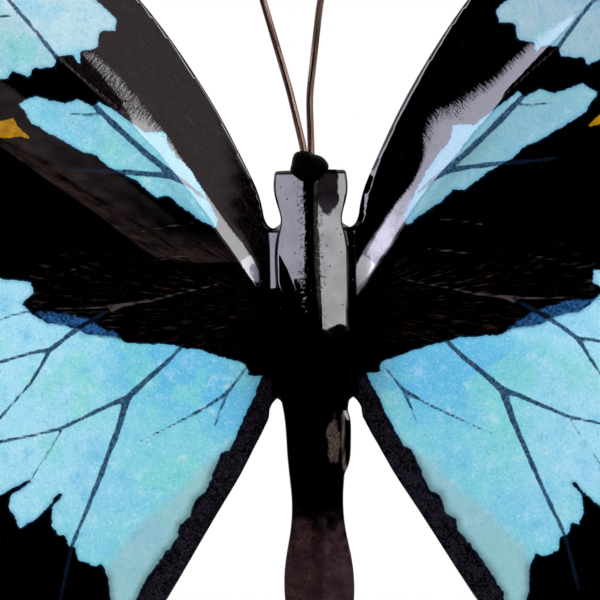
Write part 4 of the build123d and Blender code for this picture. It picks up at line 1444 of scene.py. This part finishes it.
def copper_wire():
    """Old drawn copper: a brown metal whose bright and dark lines break up the lamps."""
    material, tree, shader = new_material("drawn_copper_wire", Metallic=0.85)
    around = add_node(tree, "Attribute", out="Fac", attribute_name="round_wire")
    reach = add_node(tree, "Attribute", out="Fac", attribute_name="along_wire")
    turn = add_node(tree, "Math MULTIPLY", {0: around, 1: 2 * math.pi})
    x = add_node(tree, "Math COSINE", {0: turn})
    y = add_node(tree, "Math SINE", {0: turn})
    vector = add_node(tree, "CombineXYZ", {"X": x, "Y": y, "Z": reach})
    vector = add_node(tree, "VectorMath MULTIPLY", {0: vector, 1: DIE_LINES})
    lines = add_node(tree, "TexNoise", {"Vector": vector, "Scale": 1.0, "Detail": 4.0, "Roughness": 0.6})
    colour = laid_over(tree, srgb("#1c100b"), [
        (lines, 0.42, 0.55, 1.0, "#927060"),
        (lines, 0.56, 0.66, 1.0, "#e6cfc2"),
    ])
    roughness = add_node(tree, "Math MULTIPLY_ADD", {0: lines, 1: 0.3, 2: 0.26})
    vary(tree, shader, lines, 0.05, Base_Color=colour, Roughness=roughness)
    return material


def plain_mesh(holder, name):
    """The mesh that a modifier makes; the holder that carried it goes."""
    ready = holder.evaluated_get(bpy.context.evaluated_depsgraph_get())
    mesh = bpy.data.meshes.new_from_object(ready)
    mesh.name = name
    holder.modifiers.clear()
    bpy.data.objects.remove(holder)
    return mesh


copper = copper_wire()
for antenna in ("antenna_left", "antenna_right"):
    path = bpy.data.curves.new(antenna, "CURVE")
    path.dimensions = "3D"
    line = centre_line(antenna)
    spline = path.splines.new("POLY")
    spline.points.add(len(line) - 1)
    for point, place in zip(spline.points, line):
        point.co = (*place, 1)
    holder = bpy.data.objects.new(antenna + "_path", path)
    bpy.context.scene.collection.objects.link(holder)
    sweep = holder.modifiers.new("Wire", "NODES")
    sweep.node_group = wire_maker
    sweep[radius_input] = WIRE_RADIUS
    sweep[round_input] = POINTS_ROUND
    sweep[finish_input] = copper
    piece = add_piece(antenna + "_wire", plain_mesh(holder, antenna + "_wire"))
    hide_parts(antenna)
    print(antenna, "wire of", len(piece.data.vertices), "points")

# %% [markdown]
# ## Paint on the wings' backs
# Nobody looks at the back of a wall ornament, so the real sheets are only sprayed there: one thin satin
# coat, grainy where the spray dried on its way. A rather rough paint with a fine, tight bump gives that.

# %% Satin back paint
back_paint = even_finish(
    "sprayed_satin_black", "#121214", [("mist", 0.6, 3, 0.7), ("cloud", 14.0, 3, 0.55)],
    [("cloud", 0.35, 0.65, 1.0, "#1b1b1e"), ("mist", 0.55, 0.75, 0.6, "#2a2a2d")],
    "mist", 0.04, Roughness=0.42, Specular_IOR_Level=0.4,
)
for wing, (mesh, shaped) in wings.items():
    piece = add_piece(mesh.name, mesh)
    mesh.materials.append(print_material)
    mesh.materials.append(back_paint)
    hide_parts(wing)
    print(piece.name, len(mesh.polygons), "faces")

# %% [markdown]
# ## Bare steel and rubber
# Rivets and hanger are bright steel straight from the tumbler: grey, a little uneven, with fine short
# scratches every way and a duller film where fingers were. The bumper is moulded black rubber, matt and
# dusty. Both sit behind, on the solids themselves, which already have the right shape.

# %% Small fittings
SCRATCHES = 900.0  # fine facets to the metre


def tumbled_steel():
    """Tumbled steel: a grey metal whose film and scratches make the lamps soft and broken."""
    material, tree, shader = new_material("tumbled_bare_steel", Metallic=1.0)
    position, spread = unevenness(tree, ("film", 3.0, 3, 0.6), ("pit", 0.35, 3, 0.7))
    scratches = {"Vector": position, "Scale": SCRATCHES, "Randomness": 1.0}
    scratches = add_node(tree, "TexVoronoi", scratches, feature="DISTANCE_TO_EDGE")
    colour = laid_over(tree, srgb("#a9abad"), [
        (spread["film"], 0.40, 0.65, 0.7, "#8a8781"),
        (spread["pit"], 0.60, 0.80, 0.8, "#6f6a63"),
    ])
    roughness = add_node(tree, "Math MULTIPLY_ADD", {0: spread["film"], 1: 0.4, 2: 0.16})
    surface = add_node(tree, "Math MULTIPLY_ADD", {0: scratches, 1: 0.6, 2: spread["pit"]})
    vary(tree, shader, surface, 0.02, Base_Color=colour, Roughness=roughness)
    return material


steel = tumbled_steel()
# Moulded rubber: dark and matt, with a fine skin and a little dust that turns it brownish
rubber = even_finish(
    "moulded_black_rubber", "#131313", [("dust", 1.4, 4, 0.65), ("skin", 0.25, 3, 0.6)],
    [("dust", 0.50, 0.75, 0.7, "#2d2b29")], "skin", 0.05, Roughness=0.8, Specular_IOR_Level=0.3,
)
FINISHES = {
    "body_shell": lacquer, "spine_plate": lacquer, "wing_rivets": steel, "hanger_bracket": steel,
    "hanger_rivets": steel, "wall_bumper": rubber,
}
for name, finish in FINISHES.items():
    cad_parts[name].data.materials.clear()
    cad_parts[name].data.materials.append(finish)
    print(name, "has", finish.name)

# %% [markdown]
# ## Light
# The photograph has two tall softboxes, one on each side and a little above. Their shapes are what the
# gloss shows: flat bright strips on the body and bands along the ridges. The room behind the camera is dark
# but for a dim wall high on the right, which greys the left wing's leading panel. The backdrop is white, so
# the world is white to the camera and to gloss that looks past the object.

# %% Softboxes
SOFTBOX_SIZE = (0.34, 0.62)  # width and height, in metres
SOFTBOX_ELEVATION = math.radians(22)
SOFTBOX_DISTANCE = 1.0
# Degrees from the camera, positive to its right; radiance; colour
SOFTBOXES = {"Softbox left": (-60, 9.2, "#e9e8ff"), "Softbox right": (60, 9.6, "#fafaff")}

for name, (azimuth, radiance, colour) in SOFTBOXES.items():
    lamp = bpy.data.lights.new(name, "AREA")
    lamp.shape = "RECTANGLE"
    lamp.size, lamp.size_y = SOFTBOX_SIZE
    lamp.energy = radiance * math.pi * lamp.size * lamp.size_y
    lamp.color = srgb(colour)[:3]
    holder = bpy.data.objects.new(name, lamp)
    bpy.context.scene.collection.objects.link(holder)
    a, e = math.radians(azimuth), SOFTBOX_ELEVATION
    where = SOFTBOX_DISTANCE * Vector((math.sin(a) * math.cos(e), -math.cos(a) * math.cos(e), math.sin(e)))
    turned = (-where).to_track_quat("-Z", "Y").to_matrix().to_4x4()
    holder.matrix_world = Matrix.Translation(where) @ turned
    holder.visible_camera = False
    print(name, "of", round(lamp.energy, 2), "W")

# %% The room
FILL = 0.55  # light from the room on matt surfaces
DIM_WALL = (0.76, 0.60, 0.62, 1.0)
world = bpy.data.worlds.new("Studio")
bpy.context.scene.world = world
world.use_nodes = True
tree = world.node_tree
tree.nodes.clear()
rays = {}
for kind in ("Camera", "Glossy", "Transmission", "Diffuse"):
    rays[kind] = add_node(tree, "LightPath", out=f"Is {kind} Ray")
looks = add_node(tree, "TexCoord", out="Generated")
to_right, ahead, upward = (add_node(tree, "SeparateXYZ", {0: looks}, axis) for axis in "XYZ")
# White to the camera and through glass, to gloss that looks past the object, and faintly to matt surfaces
past = add_node(tree, "Math GREATER_THAN", {0: ahead, 1: 0.0})
past = add_node(tree, "Math MULTIPLY", {0: rays["Glossy"], 1: past})
fill = add_node(tree, "Math MULTIPLY", {0: rays["Diffuse"], 1: FILL})
white = rays["Camera"]
for share in (rays["Transmission"], past, fill):
    white = add_node(tree, "Math MAXIMUM", {0: white, 1: share})
# The dim wall's four edges, each where it starts and where it is full
wall = 1.0
for follows, start, full in (
    (upward, 0.11, 0.20), (to_right, 0.24, 0.42), (to_right, 0.78, 0.72), (upward, 0.6, 0.4),
):
    edge = {"Value": follows, "From Min": start, "From Max": full, "To Max": wall}
    wall = add_node(tree, "MapRange SMOOTHSTEP", edge)
wall = add_node(tree, "Math MULTIPLY", {0: wall, 1: rays["Glossy"]})
light = add_node(tree, "Mix", {0: wall, 6: (0, 0, 0, 1), 7: DIM_WALL}, 2, data_type="RGBA")
light = add_node(tree, "Mix", {0: white, 6: light, 7: (1, 1, 1, 1)}, 2, data_type="RGBA")
background = add_node(tree, "Background", {"Color": light, "Strength": 1.0})
add_node(tree, "OutputWorld", {"Surface": background})
print("the room has", len(tree.nodes), "nodes")

# %% [markdown]
# ## Floor
# The ornament hangs, so the floor is only a small pale shelf below and behind it, there to catch its shadow
# in views from above. It ends below the wings, because their rims would mirror a floor in front of them.

# %% A pale shelf
FLOOR_Z = -0.165
floor_mesh = bpy.data.meshes.new("pale_shelf")
corners = [(-0.3, -0.04, FLOOR_Z), (0.3, -0.04, FLOOR_Z), (0.3, 0.24, FLOOR_Z), (-0.3, 0.24, FLOOR_Z)]
floor_mesh.from_pydata(corners, [], [(0, 1, 2, 3)])
floor = bpy.data.objects.new("pale_shelf", floor_mesh)
bpy.context.scene.collection.objects.link(floor)
# Rolled paint on board: pale and matt, so it takes a shadow and mirrors nothing
floor_mesh.materials.append(even_finish(
    "pale_shelf_paint", "#e9e8e6", [("roller", 3.0, 3, 0.6)], [("roller", 0.4, 0.7, 0.5, "#dfdedb")],
    Roughness=0.7, Specular_IOR_Level=0.2,
))
print("the shelf lies", round(-FLOOR_Z / MM), "mm below the hanging hole")

# %% [markdown]
# ## View transform
# The colours were matched under the plain view transform, so it is set here.

# %% View transform
bpy.context.scene.view_settings.view_transform = "Standard"
